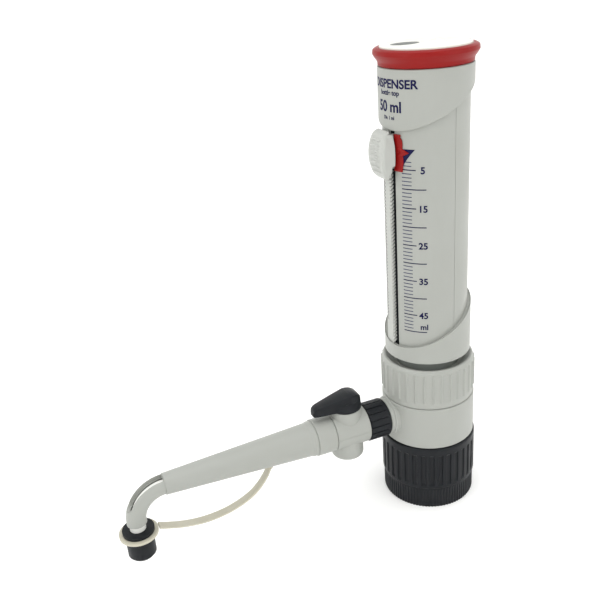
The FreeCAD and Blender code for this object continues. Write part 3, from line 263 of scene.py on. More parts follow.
def makeSweep(sweep):
    # A round white cove of lit paper, so that every side of the instrument is seen against the same white.
    material, tree, shader = newMaterial("matt white paper sweep")
    shader.inputs["Base Color"].default_value = linear("FBFBFA")
    shader.inputs["Roughness"].default_value = 0.85
    shader.inputs["Emission Color"].default_value = linear("FFFFFF")
    shader.inputs["Emission Strength"].default_value = sweep["glow"]
    bends = [math.radians(90 * k / sweep["bendSteps"]) for k in range(sweep["bendSteps"] + 1)]
    profile = [(sweep["floorRadius"] + sweep["bend"] * math.sin(a), sweep["bend"] * (1 - math.cos(a)))
               for a in bends]
    profile.append((profile[-1][0], sweep["high"]))
    mesh = bmesh.new()
    centre = mesh.verts.new((0, 0, 0))
    rings = []
    for k in range(sweep["steps"]):
        turn = math.tau * k / sweep["steps"]
        rings.append([mesh.verts.new((r * math.cos(turn), r * math.sin(turn), z)) for r, z in profile])
    for k, near in enumerate(rings):
        far = rings[(k + 1) % len(rings)]
        mesh.faces.new((centre, near[0], far[0]))
        for i in range(len(profile) - 1):
            mesh.faces.new((near[i], near[i + 1], far[i + 1], far[i]))
    for face in mesh.faces:
        face.smooth = True
    data = bpy.data.meshes.new("sweep")
    mesh.to_mesh(data)
    mesh.free()
    data.materials.append(material)
    backdrop = bpy.data.objects.new("sweep", data)
    bpy.context.scene.collection.objects.link(backdrop)


makeCamera(cameraSet)
makeLights(lightSet)
makeSweep(sweepSet)
print("camera, light and sweep made")


# Making a piece.
def arcCorners(corners, steps=5):
    # Corners are (radius, height) and, where the corner is rounded, its radius.
    points = []
    for i, corner in enumerate(corners):
        here = Vector(corner[:2])
        if len(corner) < 3:
            points.append(here)
            continue
        back = Vector(corners[i - 1][:2]) - here
        on = Vector(corners[(i + 1) % len(corners)][:2]) - here
        half = back.angle(on) / 2
        reach = min(corner[2] / math.tan(half), 0.49 * back.length, 0.49 * on.length)
        radius = reach * math.tan(half)
        centre = here + (back.normalized() + on.normalized()).normalized() * (radius / math.sin(half))
        first = here + back.normalized() * reach - centre
        last = here + on.normalized() * reach - centre
        bend = first.angle_signed(last)
        for k in range(steps + 1):
            spoke = first.copy()
            spoke.rotate(Matrix.Rotation(-bend * k / steps, 2))
            points.append(centre + spoke)
    return points


def alongRuns(points, step):
    # Divides the long straight stretches, so that ribs and grooves have something to shape.
    divided = []
    for i, point in enumerate(points):
        after = points[(i + 1) % len(points)]
        count = max(1, round((after - point).length / step))
        divided += [point.lerp(after, k / count) for k in range(count)]
    return divided


def lathe(points, steps, warp=None):
    mesh = bmesh.new()
    rings = []
    for k in range(steps):
        turn = 360 * k / steps
        ring = []
        for point in points:
            radius, z = warp(point.x, point.y, turn) if warp else (point.x, point.y)
            ring.append(mesh.verts.new(onTurn(turn, radius, z)))
        rings.append(ring)
    for k in range(steps):
        near, far = rings[k], rings[(k + 1) % len(rings)]
        for i in range(len(points)):
            j = (i + 1) % len(points)
            if points[i].x > 1e-6 or points[j].x > 1e-6:
                mesh.faces.new((near[i], far[i], far[j], near[j]))
    return mesh


def addPiece(name, mesh, material, body, replaced=(), sharp=38, move=None):
    bmesh.ops.remove_doubles(mesh, verts=mesh.verts, dist=1e-4)
    bmesh.ops.dissolve_degenerate(mesh, dist=1e-5, edges=mesh.edges)
    bmesh.ops.recalc_face_normals(mesh, faces=mesh.faces)
    limit = math.radians(sharp)
    for edge in mesh.edges:
        edge.smooth = edge.calc_face_angle(0) < limit
    for face in mesh.faces:
        face.smooth = True
    if move:
        mesh.transform(move)
    mesh.transform(Matrix.Scale(mm, 4))
    data = bpy.data.meshes.new(name)
    mesh.to_mesh(data)
    mesh.free()
    data.materials.append(material)
    piece = bpy.data.objects.new(name, data)
    bpy.context.scene.collection.objects.link(piece)
    if body:
        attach(piece, body)
    if replaced:
        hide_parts(*replaced)
    return piece


def joined(first, *others):
    for other in others:
        data = bpy.data.meshes.new("part")
        other.to_mesh(data)
        first.from_mesh(data)
        bpy.data.meshes.remove(data)
        other.free()
    return first


def window(value, low, high, soft):
    # 1 between low and high, easing to 0 over soft at each end.
    inside = min(value - low, high - value) / soft
    inside = min(max(inside, 0), 1)
    return inside * inside * (3 - 2 * inside)


def ridge(turn, count, halfWidth):
    # 1 on the middle of each of count ribs, easing to 0 at halfWidth degrees from it.
    pitch = 360 / count
    off = abs((turn + pitch / 2) % pitch - pitch / 2) / halfWidth
    return 0.5 + 0.5 * math.cos(math.pi * off) if off < 1 else 0.0


def plateau(turn, count, halfWidth, soft):
    pitch = 360 / count
    off = abs((turn + pitch / 2) % pitch - pitch / 2)
    return window(off, -halfWidth, halfWidth, soft)


armHeight = (nodeBox("stopcock_upper")[0].z + nodeBox("stopcock_lower")[1].z) / 2
armFrame = Matrix.Translation((0, 0, armHeight)) @ Matrix.Rotation(math.radians(90), 4, "X")


# Strap. The camera and the cord come before the other pieces.
strapSet = {
    "route": [(-168.9, 31.2), (-163.0, 28.9), (-153.5, 26.3), (-144.0, 25.1), (-135.0, 25.5), (-126.0, 27.3),
              (-117.5, 30.7), (-111.5, 34.9), (-107.4, 39.6), (-104.8, 43.3), (-103.4, 46.6)],
    "wide": 5.4, "thick": 1.1, "edge": 0.4}


def splineLine(route):
    curve = bpy.data.curves.new("strapLine", "CURVE")
    curve.dimensions = "3D"
    curve.resolution_u = 10
    spline = curve.splines.new("NURBS")
    spline.points.add(len(route) - 1)
    for point, (y, z) in zip(spline.points, route):
        point.co = (0, y, z, 1)
    spline.order_u = 3
    spline.use_endpoint_u = True
    carrier = bpy.data.objects.new("strapLine", curve)
    line = bpy.data.meshes.new_from_object(carrier)
    points = [vertex.co.copy() for vertex in line.vertices]
    bpy.data.objects.remove(carrier)
    bpy.data.curves.remove(curve)
    return points


def makeStrap(strap):
    points = splineLine(strap["route"][::-1])
    wide, thick, edge = strap["wide"] / 2, strap["thick"] / 2, strap["edge"]
    outline = arcCorners([(-wide, -thick, edge), (wide, -thick, edge), (wide, thick, edge),
                          (-wide, thick, edge)], 3)
    mesh = bmesh.new()
    rings = []
    for i, point in enumerate(points):
        along = (points[min(i + 1, len(points) - 1)] - points[max(i - 1, 0)]).normalized()
        lift = Vector((1, 0, 0)).cross(along)
        rings.append([mesh.verts.new(point + Vector((1, 0, 0)) * p.x + lift * p.y) for p in outline])
    for near, far in zip(rings, rings[1:]):
        for i in range(len(outline)):
            j = (i + 1) % len(outline)
            mesh.faces.new((near[i], near[j], far[j], far[i]))
    mesh.faces.new(rings[0])
    mesh.faces.new(rings[-1][::-1])
    piece = addPiece("retainingStrap", mesh, naturalPolyethylene, None, ["cap_strap"])
    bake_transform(piece)
    length = sum((b - a).length for a, b in zip(points, points[1:]))


makeStrap(strapSet)
print("strap made")


# Screwed rings. Corners that touch a neighbour come from the CAD boxes, the rest from the settings.
adapterSet = {"bore": 19.0, "neck": 22.4, "gap": 0.3, "foot": 0.25, "edge": 0.35, "lip": 0.4, "skin": 0.8,
              "teeth": 90, "deep": 0.45, "toothLow": -2.0, "toothHigh": 12.4, "ease": 0.8, "step": 1.2,
              "samples": 8}


def makeAdapter(ring):
    high = nodeBox("thread_adapter")[1]
    radius, bore, neck = high.x, ring["bore"], ring["neck"]
    top = nodeBox("bottle_ring")[0].z - ring["gap"]
    corners = [(bore, 0), (radius, 0, ring["foot"]), (radius, top, ring["edge"]), (neck, top),
               (neck, high.z, ring["lip"]), (bore, high.z)]

    def warp(r, z, turn):
        if r > radius - ring["skin"]:
            tooth = ridge(turn, ring["teeth"], 180 / ring["teeth"])
            r -= ring["deep"] * (1 - tooth) * window(z, ring["toothLow"], ring["toothHigh"], ring["ease"])
        return r, z
    mesh = lathe(alongRuns(arcCorners(corners), ring["step"]), ring["teeth"] * ring["samples"], warp)
    addPiece("threadAdapter", mesh, blackPolypropyleneAndPaintedShade, "thread_adapter", ["thread_adapter"])


ringSet = {"bore": 22.5, "webBore": 17.35, "webLow": 31.3, "webHigh": 35.0, "foot": 0.6, "edge": 0.9,
           "skin": 1.0, "flutes": 34, "deep": 0.8, "half": 3.1, "soft": 1.0, "fluteLow": 15.7,
           "fluteHigh": 36.8, "ease": 0.7, "step": 0.7, "samples": 18}


def makeBottleRing(ring):
    low, high = nodeBox("bottle_ring")
    radius, bore, webBore = high.x, ring["bore"], ring["webBore"]
    corners = [(bore, low.z), (radius, low.z, ring["foot"]), (radius, high.z, ring["edge"]), (bore, high.z),
               (bore, ring["webHigh"]), (webBore, ring["webHigh"]), (webBore, ring["webLow"]),
               (bore, ring["webLow"])]

    def warp(r, z, turn):
        if r > radius - ring["skin"]:
            flute = plateau(turn, ring["flutes"], ring["half"], ring["soft"])
            r -= ring["deep"] * flute * window(z, ring["fluteLow"], ring["fluteHigh"], ring["ease"])
        return r, z
    mesh = lathe(alongRuns(arcCorners(corners), ring["step"]), ring["flutes"] * ring["samples"], warp)
    addPiece("bottleRing", mesh, blackPolypropyleneAndPaintedShade, "bottle_ring", ["bottle_ring"])


nutSet = {"bore": 23.45, "foot": 0.4, "shoulder": 90.3, "shoulderRound": 2.4, "rim": 25.4, "rimRound": 0.5,
          "dish": 24.3, "dishRound": 0.3, "dishFloor": 19.3, "dishLow": 88.6, "hole": 18.1, "lipLow": 86.3,
          "ribFrom": 24.6, "ribClear": 1.0, "ribs": 33, "half": 2.0, "proud": 0.74, "ribLow": 71.6,
          "ribHigh": 89.9, "ease": 0.45, "step": 0.45, "samples": 18}


def makeClampNut(nut):
    low, high = nodeBox("clamp_nut")
    radius = high.x - nut["proud"]
    corners = [(nut["bore"], low.z), (radius, low.z, nut["foot"]),
               (radius, nut["shoulder"], nut["shoulderRound"]), (nut["rim"], high.z, nut["rimRound"]),
               (nut["dish"], high.z, nut["dishRound"]), (nut["dishFloor"], nut["dishLow"]),
               (nut["hole"], nut["dishLow"]), (nut["hole"], nut["lipLow"]), (nut["bore"], nut["lipLow"])]

    def warp(r, z, turn):
        if r > nut["ribFrom"] and z > low.z + nut["ribClear"]:
            rib = ridge(turn, nut["ribs"], nut["half"])
            r += nut["proud"] * rib * window(z, nut["ribLow"], nut["ribHigh"], nut["ease"])
        return r, z
    mesh = lathe(alongRuns(arcCorners(corners, 8), nut["step"]), nut["ribs"] * nut["samples"], warp)
    addPiece("clampNut", mesh, greyPolypropylene, "clamp_nut", ["clamp_nut"])


unionSet = {"bore": 8.95, "hole": 7.25, "lip": 1.8, "nearRound": 0.8, "farRound": 0.5, "skin": 1.5,
            "grooves": 18, "deep": 0.6, "half": 2.0, "soft": 1.4, "from": 1.6, "past": 2.5, "ease": 0.7,
            "step": 0.8, "samples": 24}


def makeUnionNut(nut):
    low, high = nodeBox("union_nut")
    radius = high.x
    near, far = -high.y, -low.y
    lip = far - nut["lip"]
    corners = [(nut["bore"], near), (radius, near, nut["nearRound"]), (radius, far, nut["farRound"]),
               (nut["hole"], far), (nut["hole"], lip), (nut["bore"], lip)]

    def warp(r, u, turn):
        if r > radius - nut["skin"]:
            groove = plateau(turn, nut["grooves"], nut["half"], nut["soft"])
            r -= nut["deep"] * groove * window(u, near + nut["from"], far + nut["past"], nut["ease"])
        return r, u
    mesh = lathe(alongRuns(arcCorners(corners), nut["step"]), nut["grooves"] * nut["samples"], warp)
    addPiece("unionNut", mesh, blackPolypropyleneAndPaintedShade, "union_nut", ["union_nut"], move=armFrame)


makeAdapter(adapterSet)
makeBottleRing(ringSet)
makeClampNut(nutSet)
makeUnionNut(unionSet)
print("screwed rings made")


# Housing.
shellSet = {"hood": {"low": 224.1, "rise": 12.3, "turn": 15.0},
            "cup": {"low": 103.65, "rise": 12.5, "turn": 14.0}, "nearRim": 50.0, "bore": 22.2, "inner": 0.4,
            "outer": 0.7, "top": 0.5, "foot": 0.8, "roof": 250.5, "rod": 4.55, "floor": 99.0, "hole": 18.0,
            "steps": 240}


def slantedRim(slant, turn):
    return slant["low"] + slant["rise"] * (1 - math.cos(math.radians(turn - slant["turn"])))


def makeHousingShells(shell):
    # Heights under nearRim are measured from the slanted rim.
    def rimWarp(slant):
        return lambda r, z, turn: (r, z + slantedRim(slant, turn) if z < shell["nearRim"] else z)
    high = nodeBox("upper_hood")[1]
    bore, rod, roof = shell["bore"], shell["rod"], shell["roof"]
    hood = arcCorners([(bore, 0, shell["inner"]), (high.x, 0, shell["outer"]),
                       (high.x, high.z, shell["top"]), (rod, high.z), (rod, roof), (bore, roof)])
    addPiece("upperHood", lathe(hood, shell["steps"], rimWarp(shell["hood"])), greyPolypropylene, "housing",
             ["upper_hood"])

    low = nodeBox("lower_cup")[0]
    hole, floor = shell["hole"], shell["floor"]
    cup = arcCorners([(hole, low.z), (high.x, low.z, shell["foot"]), (high.x, 0, shell["outer"]),
                      (bore, 0, shell["inner"]), (bore, floor), (hole, floor)])
    addPiece("lowerCup", lathe(cup, shell["steps"], rimWarp(shell["cup"])), greyPolypropylene, "housing",
             ["lower_cup"])


crownSet = {"bore": 21.0, "groove": 23.0, "grooveHigh": 0.6, "foot": (23.9, 0.15),
            "profile": [(23.95, 255.9, 5.0), (25.6, 258.2, 2.5)], "bulge": (259.6, 0.8),
            "shoulder": (0.25, 261.6, 1.0), "rim": (24.6, 0.9), "seatGap": 0.05, "seatEdge": 0.25,
            "plateEdge": 0.35, "arcSteps": 8, "steps": 240}


def makeCrown(crown):
    low, high = nodeBox("colour_collar")
    plateLow, plateHigh = nodeBox("top_plate")
    seat = plateHigh.x + crown["seatGap"]
    grooveTop = low.z + crown["grooveHigh"]
    footRadius, footRound = crown["foot"]
    bulgeHigh, bulgeRound = crown["bulge"]
    shoulderIn, shoulderHigh, shoulderRound = crown["shoulder"]
    rimRadius, rimRound = crown["rim"]
    corners = [(crown["bore"], low.z), (crown["groove"], low.z), (crown["groove"], grooveTop),
               (footRadius, grooveTop, footRound), *crown["profile"], (high.x, bulgeHigh, bulgeRound),
               (high.x - shoulderIn, shoulderHigh, shoulderRound), (rimRadius, high.z, rimRound),
               (seat, high.z, crown["seatEdge"]), (seat, plateLow.z), (crown["bore"], plateLow.z)]
    addPiece("colourCollar", lathe(arcCorners(corners, crown["arcSteps"]), crown["steps"]),
             redPolypropylene, "housing", ["colour_collar"])
    plate = arcCorners([(0, plateLow.z), (plateHigh.x, plateLow.z),
                        (plateHigh.x, plateHigh.z, crown["plateEdge"]), (0, plateHigh.z)])
    addPiece("topPlate", lathe(plate, crown["steps"]), whitePolypropylene, "housing",
             ["top_plate"])


makeHousingShells(shellSet)
makeCrown(crownSet)
print("housing made")


# Pieces wrapped on the housing.
def wrapped(rows, columns, left, right, low, high, inner, outer):
    # A thin plate on the barrel: left and right give its edges in turn for a height, outer its face.
    mesh = bmesh.new()
    grids = []
    for face in (lambda s, t: inner, outer):
        grid = []
        for i in range(rows + 1):
            t = i / rows
            z = low + (high - low) * t
            a, b = left(z), right(z)
            grid.append([mesh.verts.new(onTurn(a + (b - a) * k / columns, face(k / columns, t), z))
                         for k in range(columns + 1)])
        grids.append(grid)
    back, front = grids
    for i in range(rows):
        for k in range(columns):
            mesh.faces.new((front[i][k], front[i][k + 1], front[i + 1][k + 1], front[i + 1][k]))
            mesh.faces.new((back[i][k], back[i + 1][k], back[i + 1][k + 1], back[i][k + 1]))
        mesh.faces.new((back[i][0], front[i][0], front[i + 1][0], back[i + 1][0]))
        mesh.faces.new((back[i][-1], back[i + 1][-1], front[i + 1][-1], front[i][-1]))
    for i in (0, rows):
        for k in range(columns):
            mesh.faces.new((back[i][k], back[i][k + 1], front[i][k + 1], front[i][k]))
    return mesh


textSet = {"film": 0.14, "lift": 0.01, "strip": 0.6, "weight": 0.028}


def wrappedText(words, size, turn, z, radius, stretch=1.0):
    # Lettering is cut into narrow strips so that it can follow the curve.
    curve = bpy.data.curves.new("words", "FONT")
    curve.body = words
    curve.size = size
    curve.offset = size * textSet["weight"]
    curve.extrude = textSet["film"] / 2
    curve.align_x = "CENTER"
    carrier = bpy.data.objects.new("words", curve)
    data = bpy.data.meshes.new_from_object(carrier)
    mesh = bmesh.new()
    mesh.from_mesh(data)
    bpy.data.objects.remove(carrier)
    bpy.data.curves.remove(curve)
    bpy.data.meshes.remove(data)
    bmesh.ops.remove_doubles(mesh, verts=mesh.verts, dist=1e-4)
    reach = max(abs(vertex.co.x) for vertex in mesh.verts)
    strip, face = textSet["strip"], radius + textSet["lift"]
    count = int(reach / strip)
    for k in range(-count, count + 1):
        everything = mesh.verts[:] + mesh.edges[:] + mesh.faces[:]
        bmesh.ops.bisect_plane(mesh, geom=everything, plane_co=(k * strip, 0, 0), plane_no=(1, 0, 0))
    bmesh.ops.triangulate(mesh, faces=mesh.faces)
    for vertex in mesh.verts:
        x, y, depth = vertex.co
        vertex.co = onTurn(turn + math.degrees(x * stretch / face), face + depth, z + y)
    return mesh


printSet = {"zeroHigh": 214.9, "perMl": 2.0, "start": 25.0, "one": 39.0, "five": 44.8, "ten": 58.4,
            "line": 0.5, "fine": 0.42, "columnTurn": 2, "fewest": 4, "figures": 4.9, "figureTurn": 54.0,
            "figureDrop": 1.75, "unit": 4.41, "unitTurn": 54.8, "unitHigh": 116.5, "proud": 0.08,
            "sunk": 0.12, "flagHigh": 215.3, "flagLow": 205.1, "flagLeft": 25.2, "flagTip": 25.6,
            "flagRight": 44.2, "flagBend": 1.3, "flagRows": 24, "flagColumns": 12}


def makeScale(scale):
    radius = nodeBox("sleeve_front")[1].x
    inner, outer = radius - scale["sunk"], radius + scale["proud"]

    def mark(ml, end, thick):
        z = scale["zeroHigh"] - ml * scale["perMl"]
        columns = max(scale["fewest"], round((end - scale["start"]) / scale["columnTurn"]))
        return wrapped(1, columns, lambda h: scale["start"], lambda h: end, z - thick / 2, z + thick / 2,
                       inner, lambda s, t: outer)
    fine = [mark(ml, scale["one"], scale["fine"]) for ml in range(3, 50) if ml % 5]
    addPiece("scaleFineLines", joined(*fine), greyInk, "housing")
    bold = [mark(ml, scale["ten"] if ml % 10 == 0 else scale["five"], scale["line"])
            for ml in range(5, 51, 5)]
    text = [wrappedText(str(ml), scale["figures"], scale["figureTurn"],
                        scale["zeroHigh"] - ml * scale["perMl"] - scale["figureDrop"], radius)
            for ml in range(5, 50, 10)]
    text.append(wrappedText("ml", scale["unit"], scale["unitTurn"], scale["unitHigh"], radius))
    addPiece("scaleBoldLines", joined(*bold, *text), navyInk, "housing")

    def flagEdge(z):
        t = (z - scale["flagLow"]) / (scale["flagHigh"] - scale["flagLow"])
        return scale["flagTip"] + (scale["flagRight"] - scale["flagTip"]) * t ** scale["flagBend"]
    flag = wrapped(scale["flagRows"], scale["flagColumns"], lambda z: scale["flagLeft"], flagEdge,
                   scale["flagLow"], scale["flagHigh"], inner, lambda s, t: outer)
    addPiece("scaleFlag", flag, navyInk, "housing")


# Each line is its words, size, turn, height and stretch.
hoodPrintSet = {"lines": [("DISPENSER", 5.9, 14.2, 244.9, 1.04), ("bottle top", 3.3, 10.4, 241.5, 1.0),
                          ("50 ml", 7.4, 9.6, 233.5, 1.0), ("Div. 1 ml", 2.5, 9.6, 229.7, 0.85)]}


def makeHoodPrint(lettering):
    radius = nodeBox("upper_hood")[1].x
    lines = [wrappedText(words, size, turn, z, radius, stretch)
             for words, size, turn, z, stretch in lettering["lines"]]
    addPiece("hoodPrint", joined(*lines), navyInk, "housing")


pointerSet = {"low": 203.6, "high": 222.4, "left": 13.4, "neck": 18, "swell": 9.8, "swellRate": 11,
              "wave": 0.7, "root": 24.5, "tip": 36.5, "mid": 213.5, "half": 2.5, "inner": 22.46,
              "outer": 22.95, "edge": 0.3, "softTurn": 0.12, "softHigh": 0.04, "raised": 0.35,
              "raisedHalf": 0.8, "raisedRate": 3, "raisedFrom": 0.45, "raisedSoft": 0.1, "rows": 96,
              "columns": 24}


def makePointer(flag):
    def arrowAt(z, half):
        return max(0, 1 - abs(z - flag["mid"]) / half)

    def right(z):
        # A swept shoulder, a waist above the arrow and the arrow itself.
        rate = (flag["high"] - z) / (flag["high"] - flag["low"]) * flag["swellRate"]
        edge = flag["neck"] + flag["swell"] * (1 - math.exp(-rate)) + flag["wave"] * math.sin(rate)
        return max(edge, flag["root"] + (flag["tip"] - flag["root"]) * arrowAt(z, flag["half"]))

    def face(s, t):
        z = flag["low"] + (flag["high"] - flag["low"]) * t
        rounding = window(s, 0, 1, flag["softTurn"]) * window(t, 0, 1, flag["softHigh"])
        arrow = arrowAt(z, flag["half"] * flag["raisedHalf"])
        raised = flag["raised"] * min(1, flag["raisedRate"] * arrow)
        raised *= window(s, flag["raisedFrom"], 1, flag["raisedSoft"])
        return flag["outer"] - flag["edge"] + flag["edge"] * rounding + raised
    mesh = wrapped(flag["rows"], flag["columns"], lambda z: flag["left"], right, flag["low"], flag["high"],
                   flag["inner"], face)
    addPiece("volumePointer", mesh, redPolypropylene, "cursor", ["volume_pointer"], sharp=50)


makeScale(printSet)
makeHoodPrint(hoodPrintSet)
makePointer(pointerSet)
print("prints and pointer made")


# Cursor button and rail.
def skinned(rings):
    # Closed rings of the same number of corners, joined one to the next and closed at both ends.
    mesh = bmesh.new()
    loops = [[mesh.verts.new(point) for point in ring] for ring in rings]
    for near, far in zip(loops, loops[1:]):
        for i in range(len(near)):
            j = (i + 1) % len(near)
            mesh.faces.new((near[i], near[j], far[j], far[i]))
    mesh.faces.new(loops[0])
    mesh.faces.new(loops[-1][::-1])
    return mesh


buttonSet = {"half": 8.0, "low": 199.25, "high": 223.95, "front": 30.2, "end": 27.3, "round": 2.6,
             "edge": 1.6, "pinch": 0.6, "waist": 0.26, "waistBend": 2.6, "ribTall": 0.75, "ribPitch": 2.75,
             "ribBend": 1.6, "ribReach": 3.9, "ribEase": 0.4, "ribEnd": 4.4, "ribPast": 1.0, "ribFade": 0.9,
             "reliefHigh": 206.65, "relief": 25.62, "clear": 24.18, "roomHalf": 6.3, "room": 25.7,
             "roomHigh": 222.8, "gate": 24.95, "thin": 0.4, "rows": 120, "columns": 48}


def buttonBack(button, x, z):
    # The hollow over the cursor's frame, the clearance over the cup's rim, or the housing's curve.
    if abs(x) < button["roomHalf"]:
        return button["room"] if z < button["roomHigh"] else button["gate"]
    radius = button["relief"] if z < button["reliefHigh"] else button["clear"]
    return math.sqrt(radius ** 2 - x ** 2)


def makeButton(button):
    middle = (button["low"] + button["high"]) / 2
    tall = (button["high"] - button["low"]) / 2
    reach = button["ribPitch"] * button["ribReach"]
    rings = []
    for k in range(button["columns"] + 1):
        across = 2 * k / button["columns"] - 1
        off = max(0, abs(across) * button["half"] - (button["half"] - button["edge"]))
        drawn = button["edge"] - math.sqrt(max(0, button["edge"] ** 2 - off ** 2))
        ring = []
        for i in range(button["rows"] + 1):
            t = 2 * i / button["rows"] - 1
            z = middle + (tall - button["pinch"] * drawn) * t
            x = across * button["half"] * (1 - button["waist"] * abs(t) ** button["waistBend"])
            bow = button["front"] - (button["front"] - button["end"]) * (z - middle) ** 2 / tall ** 2
            corner = max(0, abs(z - middle) - (tall - button["round"]))
            bow -= button["round"] - math.sqrt(max(0, button["round"] ** 2 - corner ** 2))
            wave = math.cos(math.tau * (z - middle) / button["ribPitch"])
            rib = button["ribTall"] * max(0, wave) ** button["ribBend"]
            rib *= window(x, -button["ribEnd"] - button["ribPast"], button["ribEnd"], button["ribFade"])
            rib *= window(z, middle - reach, middle + reach, button["ribEase"])
            ring.append(Vector((x, -max(bow - drawn + rib, buttonBack(button, x, z) + button["thin"]), z)))
        ring += [Vector((point.x, -buttonBack(button, point.x, point.z), point.z)) for point in ring[::-1]]
        rings.append(ring)
    addPiece("cursorButton", skinned(rings), paleGreyPolypropylene, "button",
             ["cursor_button"], sharp=60)


# Plans are (x, reach) corners; a tooth's and a hatch's are (x, reach, height over its place).
# The strip, the shade bar and the hatches are painted shade in black: they stand where the slot behind the
# rail and the grooves on its face lie in shadow.
railSet = {"low": 103.0, "high": 233.0, "pitch": 2.0, "toothLow": 105.4, "toothHigh": 221.0,
           "shadeHatchLow": 116.0, "toothThick": 0.95, "shadeHatchThick": 0.55, "past": 1.0,
           "plate": [(-3.9, 21.7), (-3.9, 23.05), (-3.6, 23.45), (-3.0, 23.55), (2.25, 23.55), (2.5, 23.35),
                     (2.5, 21.7)],
           "strip": [(-4.2, 20.72), (-4.2, 21.65), (4.2, 21.65), (4.2, 20.72)],
           "shade": [(2.45, 21.6), (2.45, 22.65), (2.85, 22.65), (2.85, 21.6)],
           "tooth": [(2.4, 23.4, 0), (3.55, 23.1, 0), (3.55, 21.75, 1.3875), (2.4, 21.75, 1.3875)],
           "shadeHatch": [(-3.92, 23.0, 2.0), (-3.6, 23.49, 1.5), (-3.0, 23.58, 1.1), (-1.7, 23.58, 0),
                     (-1.7, 23.35, 0), (-3.5, 23.05, 1.5)]}


def bar(corners, low, high):
    return skinned([[Vector((x, -u, z)) for x, u in corners] for z in (low, high)])


def slantedTooth(places, base, thick):
    lower = [Vector((x, -u, base + z)) for x, u, z in places]
    return skinned([lower, [point + Vector((0, 0, thick)) for point in lower]])


def makeRail(rail):
    plate = bar(rail["plate"], rail["low"], rail["high"])
    strip = bar(rail["strip"], rail["low"], rail["high"])
    shade = bar(rail["shade"], rail["toothLow"] - rail["past"], rail["toothHigh"] + rail["past"])
    count = round((rail["toothHigh"] - rail["toothLow"]) / rail["pitch"])
    heights = [rail["toothLow"] + k * rail["pitch"] for k in range(count)]
    teeth = [slantedTooth(rail["tooth"], z, rail["toothThick"]) for z in heights]
    shadeHatches = [slantedTooth(rail["shadeHatch"], z, rail["shadeHatchThick"]) for z in heights if z > rail["shadeHatchLow"]]
    addPiece("ratchetRail", joined(plate, *teeth), paleGreyPolypropylene, "housing",
             ["ratchet_rail"])
    # Painted shade: black strip, shade bar and hatches for the shadow in the slot and in the grooves of the
    # rail's face.
    addPiece("ratchetPaintedShade", joined(strip, shade, *shadeHatches), blackPolypropyleneAndPaintedShade, "housing",
             ["ratchet_rail"])


makeButton(buttonSet)
makeRail(railSet)
print("button and rail made")


# Stopcock lever. Tops are (reach, height) and fins (reach, half width) along the arm.
leverSet = {"tops": [(45.3, 74.4), (45.5, 76.0), (46.2, 77.4), (47.4, 78.6), (49.2, 79.4), (51.4, 79.75),
                     (53.6, 79.7), (57.0, 79.1), (62.0, 78.2), (68.0, 77.0), (72.0, 76.2), (73.6, 75.5),
                     (74.5, 74.6), (75.05, 73.2)],
            "fins": [(45.3, 1.6), (46.2, 3.1), (47.6, 4.5), (50.0, 5.6), (53.0, 6.0), (58.0, 5.4),
                     (66.0, 4.3), (73.0, 3.3), (74.5, 2.8), (75.05, 1.9)],
            "cuts": 4, "rows": 16, "low": 71.05, "shoulder": 0.5, "bevels": [(0.15, 0.2), (0.5, 0)],
            "hubRad": 9.15, "hubEdge": 72.4, "flareHigh": 76.4, "reach": 54.4,
            "crescent": {"deep": 0.45, "height": (74.2, 75.3, 0.3), "reach": (48.5, 59.5, 2.0)}}


def between(table, value):
    # Straight-line reading of a table of (place, size).
    for (a, first), (b, last) in zip(table, table[1:]):
        if value <= b:
            return first + (last - first) * max(0, value - a) / (b - a)
    return table[-1][1]


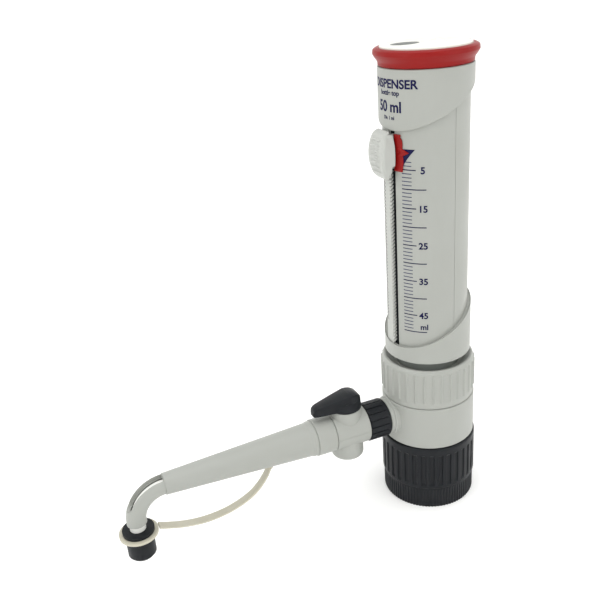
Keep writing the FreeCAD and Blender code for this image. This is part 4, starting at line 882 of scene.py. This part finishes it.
def makeLever(lever):
    points = [Vector(p) for p in lever["tops"]]
    low, hollow = lever["low"], lever["crescent"]
    outline = []
    for a, b in zip(points, points[1:]):
        outline += [a.lerp(b, k / lever["cuts"]) for k in range(lever["cuts"])]
    outline.append(points[-1])
    rings = []
    for u, top in outline:
        fin = between(lever["fins"], u)
        hub = math.sqrt(max(0, lever["hubRad"] ** 2 - (u - lever["reach"]) ** 2))
        side = []
        for k in range(lever["rows"] + 1):
            z = low + (top - lever["shoulder"] - low) * k / lever["rows"]
            flare = min(max((lever["flareHigh"] - z) / (lever["flareHigh"] - lever["hubEdge"]), 0), 1) ** 2
            crescent = hollow["deep"] * window(z, *hollow["height"]) * window(u, *hollow["reach"])
            side.append((fin + max(0, hub - fin) * flare - crescent, z))
        side += [(fin - narrow, top - drop) for narrow, drop in lever["bevels"]]
        rings.append([Vector((x, -u, z)) for x, z in side] + [Vector((-x, -u, z)) for x, z in side[::-1]])
    addPiece("stopcockLever", skinned(rings), blackPolypropyleneAndPaintedShade, "stopcock",
             ["stopcock_lever"], sharp=32)


makeLever(leverSet)
print("lever made")


# Top mark. Levels are (height over the plate, how far the edge is drawn in).
markSet = {"at": (-5.6, -8.5), "half": (5.6, 7.7), "levels": [(-0.05, 0), (0.03, 0), (0.05, 0.05)],
           "steps": 64}


def makeTopMark(mark):
    top = nodeBox("top_plate")[1].z
    (x, y), (wide, tall) = mark["at"], mark["half"]
    turns = [math.tau * k / mark["steps"] for k in range(mark["steps"])]
    rings = [[Vector((x + (wide - shrink) * math.cos(a), y + (tall - shrink) * math.sin(a), top + height))
              for a in turns] for height, shrink in mark["levels"]]
    addPiece("topMark", skinned(rings), dullGreyInk, "housing")


makeTopMark(markSet)
print("top mark made")


# CAD nodes that keep their shape.
keptNodes = [
    (greyPolypropylene, ["sleeve_front", "sleeve_rear", "valve_block", "stopcock_upper", "stopcock_lower",
                         "spout_elbow", "nozzle_collar", "nozzle_cover", "cursor_frame"]),
    (paleGreyPolypropylene, ["ring_retainer", "plunger_rod", "piston_core", "plunger_nut"]),
    (greyedFrostedPolypropyleneForShade, ["barrel_guide"]),
    (blackPolypropyleneAndPaintedShade, ["nozzle_cap"]),
    (naturalPolyethylene, ["strap_ring", "strap_anchor"]),
    (clearGlass, ["glass_barrel", "intake_ball", "outlet_ball"]),
    (turnedFluoropolymer, ["piston_seal", "stopcock_liner", "stopcock_plug", "bottle_seal", "barrel_gasket",
                           "delivery_tube", "transfer_tube", "intake_valve_seat", "outlet_valve_seat",
                           "spout_tip"]),
    (springWire, ["outlet_spring", "button_spring"])]


def dressNodes(kept):
    for material, names in kept:
        for name in names:
            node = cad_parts[name]
            node.data.materials.clear()
            node.data.materials.append(material)


dressNodes(keptNodes)
print("kept CAD nodes dressed")
